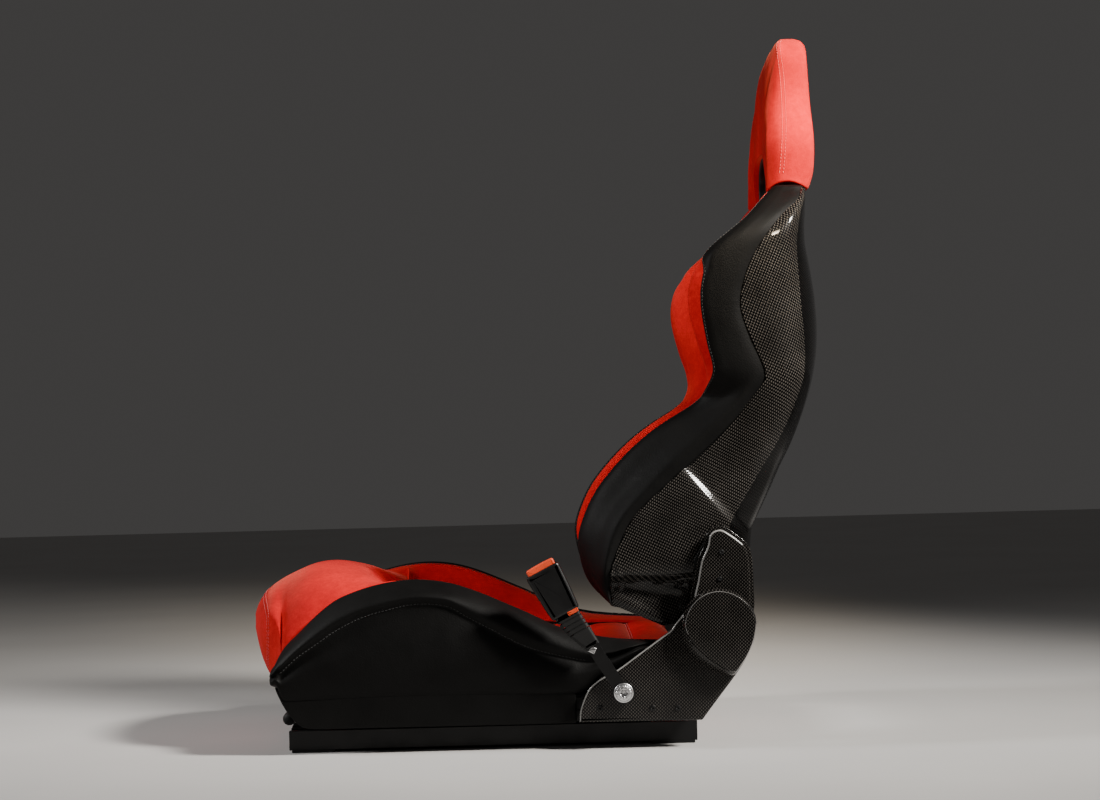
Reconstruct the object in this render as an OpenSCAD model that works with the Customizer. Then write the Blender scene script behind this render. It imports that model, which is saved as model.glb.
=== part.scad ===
// Reclining racing bucket seat on a pair of floor rails.
// +Z is up, the sitter faces -Y and +X is the sitter's left side.
// The origin is the centre of the four floor bolts, at the underside of the rails.

/* [Rails] */
// Length of each lower rail
rail_length = 508; // [480:1:540]
// Distance between the two rail centre lines
rail_spacing = 400; // [380:2:404]
// Distance between the front and rear floor bolts
floor_bolt_spacing = 448; // [430:2:450]
// Radius of the clearance holes for the floor bolts
floor_bolt_hole_r = 4.25; // [4.1:0.05:4.5]
// Width of a lower rail
rail_width = 40; // [38:1:42]

/* [Seat] */
// Half of the width between the outer faces of the seat cushion
cushion_half_width = 256; // [252:1:258]
// Distance from the centre plane to the ridge of a cushion bolster
ridge_x = 215; // [205:1:222]
// Half of the width of the flat middle cushions
middle_half_width = 158; // [150:1:160]
// Half of the width of the middle back pads
back_middle_half_width = 110; // [100:1:115]
// Thickness of the back shell
shell_wall = 4.5; // [3:0.5:6]

/* [Recliner] */
// Distance of the recline axis behind the origin
pivot_y = 281; // [278:1:284]
// Height of the recline axis
pivot_z = 148; // [145:1:150]
// Radius of the round boss over the recline axis
boss_r = 46; // [44:1:50]
// Distance from the centre plane to the outer face of the boss
boss_x = 285; // [280:1:288]
// Radius of the shaft that joins the two recliners
sync_shaft_r = 8; // [6:0.5:9]

/* [Buckle] */
// Distance of the buckle's anchor bolt behind the origin
anchor_y = 162; // [155:1:170]
// Height of the buckle's anchor bolt
anchor_z = 70; // [66:1:74]
// Forward lean of the buckle in degrees
buckle_lean = 27.3; // [20:0.1:35]
// Radius of the bush that the buckle strap turns on
anchor_bush_r = 8; // [7:0.5:9]

/* [Hidden] */
$fn = 48;

suede = [0.78, 0.06, 0.05];
leather = [0.08, 0.08, 0.08];
carbon = [0.12, 0.12, 0.13];
black_steel = [0.1, 0.1, 0.1];
bright_steel = [0.7, 0.7, 0.72];

// Rail section heights and the travel of the upper rail
rail_x = rail_spacing / 2;
foot_top = 3;
rail_floor_top = 6;
rail_top = 27;
rail_wall = 2.5;
upper_rail_y = [-150, 190];
upper_flange_z = [10, 13];
upper_top_z = [30, 33];
frame_floor_z = 36;

// Distances of the recliner layers from the centre plane
side_plate_x = [234, 238];
lower_disc_x = [238, 243];
upper_disc_x = [243.3, 247];
arm_plate_x = [247, 251];
arm_cover_x = [251.5, 262];
lower_cover_x = [263, 268];

// Running clearance of every shaft in its hole
running = 0.05;

// Slide release lever
latch_pivot = [-95, 38];
release_bar = [-246, 26];
lever_x = [174, 178];

// Cross tubes, as [y, z], and their radius
tube_r = 11;
tube_z = 49;
tube_front_y = -70;
tube_rear_y = 150;

// Bolts through the side plates into the upper rails, and the screws of the lower covers
frame_bolt_y = [-130, -40, 60, 120];
frame_bolt_z = 22;
cover_screw_points = [[133, 51], [197, 49], [228, 48.5]];

// Strap layer of the buckle and the middle of the buckle
strap_x = [274, 277];
buckle_x = 275.5;
anchor_r = 5.55;

// Smooth curve through [t, value] points, at t
function span(p, t, i = 0) = (i >= len(p) - 2 || t < p[i + 1][0]) ? i : span(p, t, i + 1);
function slope(p, i) =
    let (a = max(i - 1, 0), b = min(i + 1, len(p) - 1)) (p[b][1] - p[a][1]) / (p[b][0] - p[a][0]);
function curve(p, t) =
    let (
        i = span(p, t),
        h = p[i + 1][0] - p[i][0],
        u = min(max((t - p[i][0]) / h, 0), 1)
    )
    (2 * u^3 - 3 * u^2 + 1) * p[i][1] + (u^3 - 2 * u^2 + u) * h * slope(p, i)
    + (3 * u^2 - 2 * u^3) * p[i + 1][1] + (u^3 - u^2) * h * slope(p, i + 1);

// Seat cushion, as [y, z]: ridge of the bolsters, middle cushion, and the front pad's crown and underside
ridge_line = [[-278, 86], [-264, 122], [-238, 150], [-212, 174], [-187, 191], [-136, 207], [-86, 211],
    [-37, 202], [37, 171], [86, 148], [136, 134], [235, 127]];
middle_line = [[-118, 172], [-60, 150], [20, 132], [110, 122], [228, 124]];
crown_line = [[-315, 164], [-311, 176], [-300, 192], [-282, 203], [-256, 214], [-236, 222], [-210, 224],
    [-183, 218], [-157, 208], [-119, 176]];
chin_line = [[-315, 150], [-310, 120], [-303, 98], [-294, 83], [-284, 75], [-266, 67.5], [-248, 66.5],
    [-119, 66.5]];
// Half width of the front pad, which is the inner edge of the bolsters behind its corner
front_width_line = [[-315, 108], [-309, 142], [-300, 167], [-290, 183], [-278, 196], [-262, 203],
    [-238, 203], [-212, 190], [-187, 174], [-162, 164], [-136, 159], [-119, 158]];
// Lower edge of the bolsters at their front end, and the outline of the side skirt below them
hem_line = [[-278, 84], [-270, 80], [-262, 72], [-248, 66], [235, 66]];
skirt_outline = [[-270, 82], [-262, 72], [-239, 38], [-189, 32], [106, 31], [106, 72]];

// Backrest, as [z, y]: front edge and rear of the shell, rims of the bolsters, middle of the back
shell_edge_line = [[165, 152], [212, 151], [249, 163], [285, 183], [320, 221], [360, 266], [402, 310],
    [434, 338], [450, 349], [467, 347], [505, 331], [542, 321], [579, 328], [616, 346], [656, 378],
    [676, 400], [690, 404]];
shell_rear_line = [[165, 318], [226, 329], [263, 334], [286, 345], [313, 359], [341, 373], [366, 387],
    [398, 402], [429, 414], [454, 421], [480, 426.5], [513, 429.5], [551, 428], [577, 424.5], [600, 420],
    [627, 415], [690, 414]];
shell_width_line = [[165, 231], [200, 231], [213, 243], [300, 243], [350, 240], [430, 238], [540, 241],
    [620, 240], [650, 228], [672, 205], [690, 182]];
shell_square_line = [[165, 9], [260, 8], [340, 6], [420, 4], [480, 3.5], [690, 3.5]];
lower_rim_line = [[169, 153], [203, 123], [248, 112], [279, 118], [324, 142], [378, 194], [432, 270]];
wing_seam_line = [[434, 271], [460, 284], [493, 278], [543, 271], [578, 274], [612, 290], [653, 332]];
wing_lip_line = [[434, 2], [470, 10], [540, 16], [600, 13], [653, 3]];
back_middle_line = [[190, 215], [250, 232], [320, 262], [400, 298], [480, 326], [560, 344], [650, 357]];
shoulder_front_line = [[648, 325], [672, 346], [690, 364]];
// Headrest, as [z, value]
head_width_line = [[690, 172], [750, 165], [805, 135], [850, 115], [872, 106], [884, 96], [891, 84],
    [896, 62], [899, 35]];
head_front_line = [[690, 365], [749, 366.5], [808, 371], [857, 376], [878, 382], [890, 387], [896, 392],
    [899, 396]];
head_rear_line = [[690, 416], [711, 423], [756, 426], [807, 425], [865, 425], [882, 424], [891, 420],
    [896, 415], [899, 410]];

function shell_w(z) = curve(shell_width_line, z);
function shell_edge(z) = curve(shell_edge_line, z);
// Rear of the shell's rounded box section at distance x from the centre plane, moved in by inset
function shell_y(z, x, inset) =
    let (n = curve(shell_square_line, z), w = shell_w(z) - inset, u = min(abs(x) / w, 1))
    shell_edge(z) + (curve(shell_rear_line, z) - inset - shell_edge(z)) * (1 - u^n)^(1 / n);

// Closed solid through rings of points, each ring anticlockwise as seen from the far end. A paired ring
// bends back on itself, so that its first half runs beside its second half, and its caps join the two.
module loft(rings, paired = false) {
    n = len(rings[0]);
    last = (len(rings) - 1) * n;
    points = [for (ring = rings, p = ring) p];
    sides = [for (i = [0:len(rings) - 2], j = [0:n - 1])
        let (a = i * n + j, b = i * n + (j + 1) % n)
        each [[a, a + n, b + n], [a, b + n, b]]];
    pairs = [for (j = [0:n / 2 - 2]) [j, j + 1, n - 2 - j, n - 1 - j]];
    bottom = paired ? pairs : [[for (j = [0:n - 1]) j]];
    top = [for (face = bottom) [for (j = [len(face) - 1:-1:0]) last + face[j]]];
    polyhedron(points, concat(sides, bottom, top));
}

// Draws its children on the left, or mirrored on the right
module on_side(side) {
    if (side > 0) {
        children();
    } else {
        mirror([1, 0, 0]) children();
    }
}

// Plate between two distances from the centre plane, from an outline in [y, z]
module plate(x) {
    translate([x[0], 0, 0]) rotate([90, 0, 90]) linear_extrude(x[1] - x[0]) children();
}

// Round bar along X at [y, z]
module bar_x(x, yz, r) {
    translate([x[0], yz[0], yz[1]]) rotate([0, 90, 0]) cylinder(h = x[1] - x[0], r = r);
}

// Straight strip between two points of an outline
module strip(a, b, width) {
    d = b - a;
    translate(a) rotate(atan2(d[1], d[0])) translate([0, -width / 2]) square([norm(d), width]);
}

// ---- floor rails ----

module lower_rail(side) {
    outer = rail_width / 2;
    color(black_steel) on_side(side) difference() {
        translate([rail_x, rail_length / 2, 0]) rotate([90, 0, 0]) linear_extrude(rail_length) polygon([
            [-outer, foot_top], [outer, foot_top], [outer, rail_top], [outer - 10, rail_top],
            [outer - 10, rail_top - rail_wall], [outer - rail_wall, rail_top - rail_wall],
            [outer - rail_wall, rail_floor_top], [rail_wall - outer, rail_floor_top],
            [rail_wall - outer, rail_top - rail_wall], [10 - outer, rail_top - rail_wall],
            [10 - outer, rail_top], [-outer, rail_top]
        ]);
        for (end = [-1, 1])
            translate([rail_x, end * floor_bolt_spacing / 2, 0])
                cylinder(h = rail_floor_top + 1, r = floor_bolt_hole_r);
        for (y = [-230:10:-40])
            translate([rail_x - 15, y, rail_top - rail_wall - 1]) cube([6, 5, rail_wall + 2]);
    }
}

module rail_feet() {
    foot_length = 54;
    color(black_steel) for (side = [-1, 1], end = [-1, 1])
        translate([side * rail_x, end * floor_bolt_spacing / 2, 0]) difference() {
            translate([-rail_width / 2, -foot_length / 2, 0]) cube([rail_width, foot_length, foot_top]);
            translate([0, 0, -1]) cylinder(h = foot_top + 2, r = floor_bolt_hole_r);
        }
}

module rail_end_stops() {
    stop_w = rail_width - 2 * rail_wall;
    stop_h = rail_top - rail_wall - rail_floor_top;
    color(leather) for (side = [-1, 1], end = [-1, 1])
        translate([side * rail_x - stop_w / 2, end * (rail_length / 2 - 4) - 4, rail_floor_top])
            cube([stop_w, 8, stop_h]);
}

// ---- seat base: rails, frame and pan ----

module upper_rail(side) {
    span_y = upper_rail_y[1] - upper_rail_y[0];
    color(black_steel) on_side(side) difference() {
        union() {
            translate([rail_x, upper_rail_y[1], 0]) rotate([90, 0, 0]) linear_extrude(span_y) polygon([
                [-15, upper_flange_z[0]], [15, upper_flange_z[0]], [15, upper_flange_z[1]],
                [6, upper_flange_z[1]], [6, upper_top_z[0]], [15, upper_top_z[0]], [15, upper_top_z[1]],
                [-15, upper_top_z[1]], [-15, upper_top_z[0]], [-6, upper_top_z[0]],
                [-6, upper_flange_z[1]], [-15, upper_flange_z[1]]
            ]);
            translate([rail_x - 20, latch_pivot[0] - 10, upper_top_z[0]]) cube([6, 20, 18]);
        }
        bar_x([rail_x - 21, rail_x - 13], latch_pivot, 4);
        for (y = frame_bolt_y)
            translate([rail_x, y, frame_bolt_z]) cylinder(h = 20, r = 4);
    }
}

module rail_rollers() {
    color(bright_steel) for (side = [-1, 1], y = [-130, -110, 0, 20, 150, 170])
        bar_x([side * rail_x - 12, side * rail_x + 12], [y, 8], 1.9);
}

module cross_tube(y) {
    color(black_steel) difference() {
        bar_x([-side_plate_x[0], side_plate_x[0]], [y, tube_z], tube_r);
        bar_x([-side_plate_x[0] - 1, side_plate_x[0] + 1], [y, tube_z], tube_r - 2);
    }
}

module side_plate(side) {
    color(black_steel) on_side(side) difference() {
        union() {
            plate(side_plate_x) {
                polygon([[-150, 33], [192, 33], [252, 40], [272, 62], [300, 98], [310, 120],
                    [pivot_y, pivot_z], [232, 142], [205, 126], [140, 84], [110, 62], [-150, 62]]);
                translate([pivot_y, pivot_z]) circle(r = boss_r - 4);
            }
            translate([rail_x - 13, upper_rail_y[0], upper_top_z[1]])
                cube([side_plate_x[0] - rail_x + 13, upper_rail_y[1] - upper_rail_y[0], 3]);
        }
        bar_x([230, 240], [pivot_y, pivot_z], 16);
        bar_x([230, 240], [anchor_y, anchor_z], anchor_r);
        for (p = cover_screw_points)
            bar_x([230, 240], p, 2.5);
        for (y = frame_bolt_y)
            translate([rail_x, y, upper_top_z[1] - 1]) cylinder(h = 5, r = 4);
    }
}

module frame_bolts() {
    color(bright_steel) for (side = [-1, 1], y = frame_bolt_y)
        translate([side * rail_x, y, 0]) {
            translate([0, 0, frame_bolt_z]) cylinder(h = frame_floor_z - frame_bolt_z, r = 4);
            translate([0, 0, frame_floor_z]) cylinder(h = 5, r = 7);
        }
}

module latch_pins() {
    color(bright_steel) for (side = [-1, 1]) on_side(side) {
        bar_x([lever_x[0] - 1, rail_x - 14], latch_pivot, 4);
        bar_x([lever_x[0] - 3, lever_x[0] - 1], latch_pivot, 6);
    }
}

module recliner_lower(side) {
    color(bright_steel) on_side(side) difference() {
        bar_x(lower_disc_x, [pivot_y, pivot_z], 38);
        bar_x([lower_disc_x[0] - 1, lower_disc_x[1] + 1], [pivot_y, pivot_z], 15);
    }
}

module cushion_pan() {
    half = side_plate_x[0];
    color(black_steel) difference() {
        union() {
            translate([12 - half, -262, 61]) cube([2 * half - 24, 476, 3]);
            for (side = [-1, 1]) on_side(side) {
                translate([half - 13, -45, 61]) cube([13, 165, 3]);
                translate([half - 3, -45, 40]) cube([3, 165, 22]);
            }
        }
        for (side = [-1, 1], y = [-200, -20, 90])
            translate([side * 80, y, 58]) cylinder(h = 10, r = 24);
    }
}

module cushion_center() {
    top = [for (y = [-118:20:222]) [y, curve(middle_line, y)]];
    color(suede) plate([-middle_half_width + 0.5, middle_half_width - 0.5])
        polygon(concat([[-118, 65]], top, [[228, 118], [228, 65]]));
}

// How far the front pad's nose stands back at distance x from the centre plane
function front_bow(x, y) = 0.0006 * x^2 * min(max((-262 - y) / 28, 0), 1);

// Section of the front pad across the seat at y
function front_ring(y) =
    let (
        w = curve(front_width_line, y) - 0.5,
        crown = curve(crown_line, y),
        chin = curve(chin_line, y) - 1,
        edge = y < -278 ? chin + (crown - chin) * 0.72 : max(curve(ridge_line, y) - 2, 100),
        ring = concat([[-w * 0.97, chin], [-w, chin + (edge - chin) * 0.3]],
            [for (u = [-1:0.2:1.01]) [u * w, edge + (crown - edge) * (1 - abs(u)^2.6)]],
            [[w, chin + (edge - chin) * 0.3], [w * 0.97, chin]])
    )
    [for (p = ring) [p[0], y + front_bow(p[0], y), p[1]]];

module cushion_front() {
    color(suede) loft([for (y = [-315, -312, -308, -303, -297, -288, -277, -262, -244, -226, -208, -190,
        -172, -155, -138, -119]) front_ring(y)]);
}

// Section of a cushion bolster across the seat at y
function bolster_ring(y) =
    let (
        inner = y < -119 ? curve(front_width_line, y) + 0.5 : middle_half_width + 0.5,
        ridge = curve(ridge_line, y),
        inner_top = y < -119 ? ridge - 5 : min(curve(middle_line, y) + 8, ridge - 6),
        outer = y < 98 ? cushion_half_width : side_plate_x[0] - 12,
        skin = y < 98 ? cushion_half_width - 7 : side_plate_x[0] - 13,
        hem = max(66, curve(hem_line, y))
    )
    [[inner, y, hem], [inner, y, inner_top], [(inner + ridge_x) / 2, y, (inner_top + ridge) / 2 + 4],
        [ridge_x - 4, y, ridge - 1], [min(ridge_x + 8, skin - 8), y, ridge - 4], [skin, y, ridge - 24],
        [outer, y, hem + (ridge - hem) * 0.42], [outer - 2, y, hem]];

module cushion_bolster(side) {
    color(leather) on_side(side) {
        loft([for (y = [-272, -262, -250, -238, -220, -200, -180, -160, -136, -110, -86, -60, -37, -10, 20,
            50, 75, 96, 100, 136, 180, 232]) bolster_ring(y)]);
        plate([242, cushion_half_width - 5]) polygon(skirt_outline);
    }
}

// ---- lower side covers ----

cover_edge = [[107, 34], [108, 47], [113, 62], [120, 75], [130, 84], [142, 91], [156, 98], [209, 135],
    [222, 144], [236, 162]];
cover_heel = [[326, 140], [324, 129], [316, 111], [303, 91], [290, 74], [275, 55], [261, 37]];

module lower_cover(side) {
    color(carbon) on_side(side) difference() {
        union() {
            plate(lower_cover_x) {
                polygon(concat(cover_edge, [[pivot_y, pivot_z]], cover_heel));
                translate([pivot_y, pivot_z]) circle(r = boss_r);
            }
            bar_x([lower_cover_x[1], boss_x], [pivot_y, pivot_z], boss_r);
            plate([241, lower_cover_x[0]]) polygon([[107, 34], [108, 47], [113, 62], [120, 75], [130, 84],
                [142, 91], [144, 88], [132, 81], [123, 73], [116, 61], [111, 47], [110, 34]]);
        }
        bar_x([lower_cover_x[0] - 1, boss_x - 4], [pivot_y, pivot_z], boss_r - 4);
        bar_x([lower_cover_x[0] - 1, lower_cover_x[1] + 1], [anchor_y, anchor_z], 7);
        for (p = cover_screw_points)
            bar_x([lower_cover_x[0] - 1, lower_cover_x[1] + 1], p, 2.5);
        if (side < 0)
            bar_x([boss_x - 5, boss_x + 1], [pivot_y, pivot_z], sync_shaft_r + 2);
    }
}

module lower_cover_screws() {
    color(black_steel) for (side = [-1, 1], p = cover_screw_points) on_side(side) {
        bar_x([side_plate_x[0], lower_cover_x[1]], p, 2.5);
        bar_x([lower_cover_x[1], lower_cover_x[1] + 1.5], p, 4.5);
    }
}

// ---- buckle anchor ----

module buckle_bush() {
    color(bright_steel) difference() {
        union() {
            bar_x([side_plate_x[1], lower_cover_x[1] + 0.5], [anchor_y, anchor_z], 6.9);
            bar_x([lower_cover_x[1] + 0.5, strap_x[0] - 0.2], [anchor_y, anchor_z], 11);
            bar_x([strap_x[0] - 0.2, strap_x[1] + 0.4], [anchor_y, anchor_z], anchor_bush_r);
        }
        bar_x([side_plate_x[0], strap_x[1] + 2], [anchor_y, anchor_z], anchor_r);
    }
}

module buckle_bolt() {
    head_x = strap_x[1] + 0.4;
    color(bright_steel) difference() {
        union() {
            bar_x([side_plate_x[0] - 9, head_x], [anchor_y, anchor_z], anchor_r);
            bar_x([head_x, head_x + 4], [anchor_y, anchor_z], 12);
            bar_x([head_x + 4, head_x + 9], [anchor_y, anchor_z], 10.5);
        }
        bar_x([head_x + 5, head_x + 10], [anchor_y, anchor_z], 4.5);
    }
}

module buckle_bolt_nut() {
    color(bright_steel) difference() {
        translate([side_plate_x[0] - 8, anchor_y, anchor_z])
            rotate([0, 90, 0]) cylinder(h = 8, r = 10, $fn = 6);
        bar_x([side_plate_x[0] - 9, side_plate_x[0] + 1], [anchor_y, anchor_z], anchor_r);
    }
}

// ---- slide release ----

module slide_release_bar() {
    color(black_steel) {
        for (side = [-1, 1]) on_side(side) {
            difference() {
                plate(lever_x) {
                    strip(latch_pivot, release_bar, 12);
                    translate(latch_pivot) circle(r = 9);
                    translate(release_bar) circle(r = 8);
                    translate([-136, 27.5]) square([22, 8]);
                }
                bar_x([lever_x[0] - 1, lever_x[1] + 1], latch_pivot, 4 + running);
            }
            for (y = [-134, -124])
                translate([lever_x[1], y, 27.5]) cube([6, 4, 4]);
        }
        bar_x([-lever_x[0], lever_x[0]], release_bar, 6);
    }
}

module slide_release_grip() {
    color(leather) difference() {
        bar_x([-75, 75], release_bar, 9);
        bar_x([-76, 76], release_bar, 6);
    }
}

// ---- backrest shell and recliner arms ----

// Outline of the harness opening, as [x, z], grown by extra
function harness_outline(extra) =
    [for (a = [0:10:350])
        let (c = cos(a), s = sin(a))
        [(82 + extra) * sign(c) * abs(c)^0.6, 697 + (48 + extra) * sign(s) * abs(s)^0.6]];

// Half width of the harness opening at height z, grown by extra
function harness_half_width(z, extra) =
    let (s = min(abs(z - 697) / (48 + extra), 1)^(1 / 0.6))
    (82 + extra) * sqrt(1 - s * s)^0.6;

module harness_opening(extra) {
    translate([0, 500, 0]) rotate([90, 0, 0]) linear_extrude(200) polygon(harness_outline(extra));
}

// Section of the shell at height z, as a U open to the front
function shell_ring(z) =
    let (
        w = shell_w(z),
        turns = [for (a = [0:11.25:180]) cos(a)],
        round_x = [for (c = turns) sign(c) * abs(c)^0.35]
    )
    concat([for (u = round_x) [u * w, shell_y(z, u * w, 0), z]],
        [for (i = [len(round_x) - 1:-1:0])
            let (x = round_x[i] * (w - shell_wall))
            [x, shell_y(z, x, shell_wall), z]]);

module back_shell() {
    color(carbon) difference() {
        loft([for (z = [165, 182, 200, 213, 240, 270, 300, 330, 360, 390, 420, 450, 480, 520, 560, 600,
            630, 656, 674, 690]) shell_ring(z)], paired = true);
        harness_opening(3.5);
    }
}

module recliner_upper(side) {
    color(bright_steel) on_side(side) difference() {
        union() {
            bar_x(upper_disc_x, [pivot_y, pivot_z], 36);
            bar_x([side_plate_x[0] + 1, upper_disc_x[0]], [pivot_y, pivot_z], 15 - running);
        }
        bar_x([side_plate_x[0], upper_disc_x[1] + 1], [pivot_y, pivot_z], sync_shaft_r + running);
    }
}

arm_bolt_points = [[271, 226], [297, 226], [285, 251]];
arm_screw_points = [[287, 238], [284, 205]];

module arm_plate(side) {
    color(black_steel) on_side(side) difference() {
        plate(arm_plate_x) {
            polygon([[256, 171], [258, 206], [253, 228], [274, 262], [292, 263], [314, 246], [318, 190],
                [309, 166], [pivot_y, pivot_z]]);
            translate([pivot_y, pivot_z]) circle(r = 40);
        }
        bar_x([arm_plate_x[0] - 1, arm_plate_x[1] + 1], [pivot_y, pivot_z], sync_shaft_r + 1);
        for (p = arm_bolt_points)
            bar_x([arm_plate_x[0] - 1, arm_plate_x[1] + 1], p, 4);
        for (p = arm_screw_points)
            bar_x([arm_plate_x[0] - 1, arm_plate_x[1] + 1], p, 2);
    }
}

module arm_bolts() {
    color(bright_steel) for (side = [-1, 1], p = arm_bolt_points) on_side(side) {
        bar_x([237.5, arm_plate_x[1]], p, 4);
        bar_x([239.5, arm_plate_x[0]], p, 8);
        bar_x([arm_plate_x[1], arm_plate_x[1] + 3], p, 6.5);
    }
}

arm_cover_outline = [[247, 178], [253, 205], [258, 229], [266, 247], [269, 260], [275, 267], [286, 270],
    [295, 267], [316, 251], [322, 242], [325, 227], [326, 190], [326, 168], [318, 140], [281, 122],
    [248, 140]];

module arm_cover(side) {
    centre = [288, 205];
    color(carbon) on_side(side) difference() {
        plate(arm_cover_x) polygon(arm_cover_outline);
        plate([arm_cover_x[0] - 1, arm_cover_x[1] - 3])
            translate(centre) scale(0.92) translate(-centre) polygon(arm_cover_outline);
        plate([arm_cover_x[0] - 1, arm_cover_x[1] - 3]) translate([pivot_y, 100]) square([60, 60]);
        bar_x([arm_cover_x[0] - 1, arm_cover_x[1] + 1], [pivot_y, pivot_z], sync_shaft_r + 2);
        for (p = arm_screw_points)
            bar_x([arm_cover_x[0] - 1, arm_cover_x[1] + 1], p, 2);
    }
}

module arm_cover_screws() {
    color(black_steel) for (side = [-1, 1], p = arm_screw_points) on_side(side) {
        bar_x([arm_plate_x[0], arm_cover_x[1]], p, 2);
        bar_x([arm_cover_x[1], arm_cover_x[1] + 0.6], p, 4);
    }
}

// ---- backrest pads ----

// Depth and margin of the recess in the headrest's rear that holds its back panel
panel_recess = 10;
panel_margin = 17;

module headrest_pad() {
    color(suede) difference() {
        loft([for (z = [690, 705, 725, 750, 778, 805, 833, 858, 872, 884, 891, 896, 899])
            let (
                w = curve(head_width_line, z),
                front = curve(head_front_line, z),
                rear = curve(head_rear_line, z),
                depth = rear - front,
                p = w - panel_margin,
                floor_y = rear - (z < 865 ? panel_recess : 1)
            )
            [[-w, front + depth * 0.3, z], [-(w + p) / 2, front + 1, z], [-p - 5, front, z],
                [5 - p, front, z], [p - 5, front, z], [p + 5, front, z], [(w + p) / 2, front + 1, z],
                [w, front + depth * 0.3, z], [w, rear - depth * 0.2, z], [(w + p) / 2, rear, z], [p, rear, z],
                [p, floor_y, z], [-p, floor_y, z], [-p, rear, z], [-(w + p) / 2, rear, z],
                [-w, rear - depth * 0.2, z]]],
            paired = true);
        harness_opening(3.5);
    }
}

module headrest_panel() {
    color(carbon) difference() {
        loft([for (z = [690, 705, 725, 750, 778, 805, 833, 858])
            let (
                w = curve(head_width_line, z) - panel_margin - 1,
                y = curve(head_rear_line, z) - panel_recess + 1
            )
            [[-w, y, z], [w, y, z], [w, y + 6, z], [-w, y + 6, z]]]);
        harness_opening(3.5);
    }
}

module harness_bezel() {
    color(leather) intersection() {
        difference() {
            harness_opening(3);
            harness_opening(0);
        }
        translate([-120, 367, 640]) cube([240, 50, 120]);
    }
}

module shoulder_pad(side) {
    color(leather) on_side(side) loft([for (z = [652, 660, 670, 680, 689])
        let (
            w = shell_w(z) - 1,
            edge = shell_edge(z) - 1,
            front = curve(shoulder_front_line, z),
            rear = curve(shell_rear_line, z) - 7,
            inner = harness_half_width(z, 4)
        )
        [[inner, 364, z], [w * 0.55, front + 16, z], [w * 0.86, front, z], [w * 0.96, front + 14, z],
            [w, edge, z], [w - 8, edge, z], [w * 0.8, max(rear - 14, edge), z], [w * 0.58, rear - 3, z],
            [inner, rear - 3, z]]]);
}

module back_pad(z) {
    half = back_middle_half_width - 0.5;
    heights = [for (i = [0:8]) z[0] + (z[1] - z[0]) * i / 8];
    color(suede) difference() {
        plate([-half, half]) polygon(concat(
            [for (h = heights) [curve(back_middle_line, h), h]],
            [for (i = [8:-1:0]) [shell_y(heights[i], half, 6) - 2, heights[i]]]));
        harness_opening(3.5);
    }
}

// Section of a back bolster at height z: rim points from the middle outwards, then round inside the shell
function back_bolster_ring(z, rim) =
    let (
        inner = back_middle_half_width + 0.5,
        w = shell_w(z),
        edge = shell_edge(z),
        x = [w - 8.5, (w - 6) * 0.96, (w - 6) * 0.9, (w - 6) * 0.8, (w + inner) * 0.42, inner]
    )
    concat([[inner, curve(back_middle_line, z), z]],
        [for (p = rim) [p[0], p[1], z]],
        [[w, edge - 2, z], [w - 8, edge - 2, z]],
        [for (v = x) [v, shell_y(z, v, 6) - 2, z]]);

function lower_rim(z) =
    let (rim = curve(lower_rim_line, z), middle = curve(back_middle_line, z), edge = shell_edge(z))
    [[148, middle + (rim - middle) * 0.55], [172, rim + 6], [185, rim], [200, rim + 6],
        [222, rim + (edge - rim) * 0.45], [min(shell_w(z), 238), rim + (edge - rim) * 0.75]];

function wing_rim(z) =
    let (
        seam = curve(wing_seam_line, z),
        tip = seam - curve(wing_lip_line, z),
        middle = curve(back_middle_line, z),
        edge = shell_edge(z),
        w = min(shell_w(z), 241)
    )
    [[150, middle + (tip - middle) * 0.3], [190, middle + (tip - middle) * 0.7], [w - 22, tip + 1],
        [w - 10, tip + 2], [w - 3, seam + 2], [w, seam + (edge - seam) * 0.5]];

module lower_bolster(side) {
    color(leather) on_side(side)
        loft([for (z = [172, 185, 200, 213, 230, 250, 275, 300, 325, 350, 375, 400, 418, 432])
            back_bolster_ring(z, lower_rim(z))]);
}

module wing_bolster(side) {
    color(leather) on_side(side)
        loft([for (z = [433, 445, 458, 475, 495, 520, 545, 570, 590, 610, 628, 640, 651])
            back_bolster_ring(z, wing_rim(z))]);
}

// ---- recline release ----

module sync_shaft() {
    color(bright_steel) difference() {
        bar_x([-296, 258], [pivot_y, pivot_z], sync_shaft_r);
        bar_x([-297, -288], [pivot_y, pivot_z], 3);
    }
}

module recline_lever() {
    tip = [172, 156];
    x = [-296, -288];
    color(black_steel) difference() {
        union() {
            bar_x(x, [pivot_y, pivot_z], 16);
            plate([x[0] + 1, x[1] - 2]) strip([pivot_y, pivot_z], tip, 14);
        }
        bar_x([x[0] - 1, x[1] + 1], [pivot_y, pivot_z], sync_shaft_r);
    }
}

module recline_lever_grip() {
    tip = [172, 156];
    color(leather) difference() {
        plate([-299, -286]) {
            strip([220, 152], tip, 20);
            translate(tip) circle(r = 11);
        }
        plate([-295, -290]) strip([pivot_y, pivot_z], tip, 14);
    }
}

// ---- buckle ----

// Puts its children in the buckle's own frame: z along the buckle from its lower end, y across it
module in_buckle() {
    translate([buckle_x, 94, 168]) rotate([buckle_lean, 0, 0]) children();
}

case_length = 62;
strap_half = (strap_x[1] - strap_x[0]) / 2;

module buckle_outline(extra) {
    polygon([[-18.5 + extra, 0], [18.5 - extra, 0],
        [22.5 - extra, case_length], [-22.5 + extra, case_length]]);
}

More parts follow.
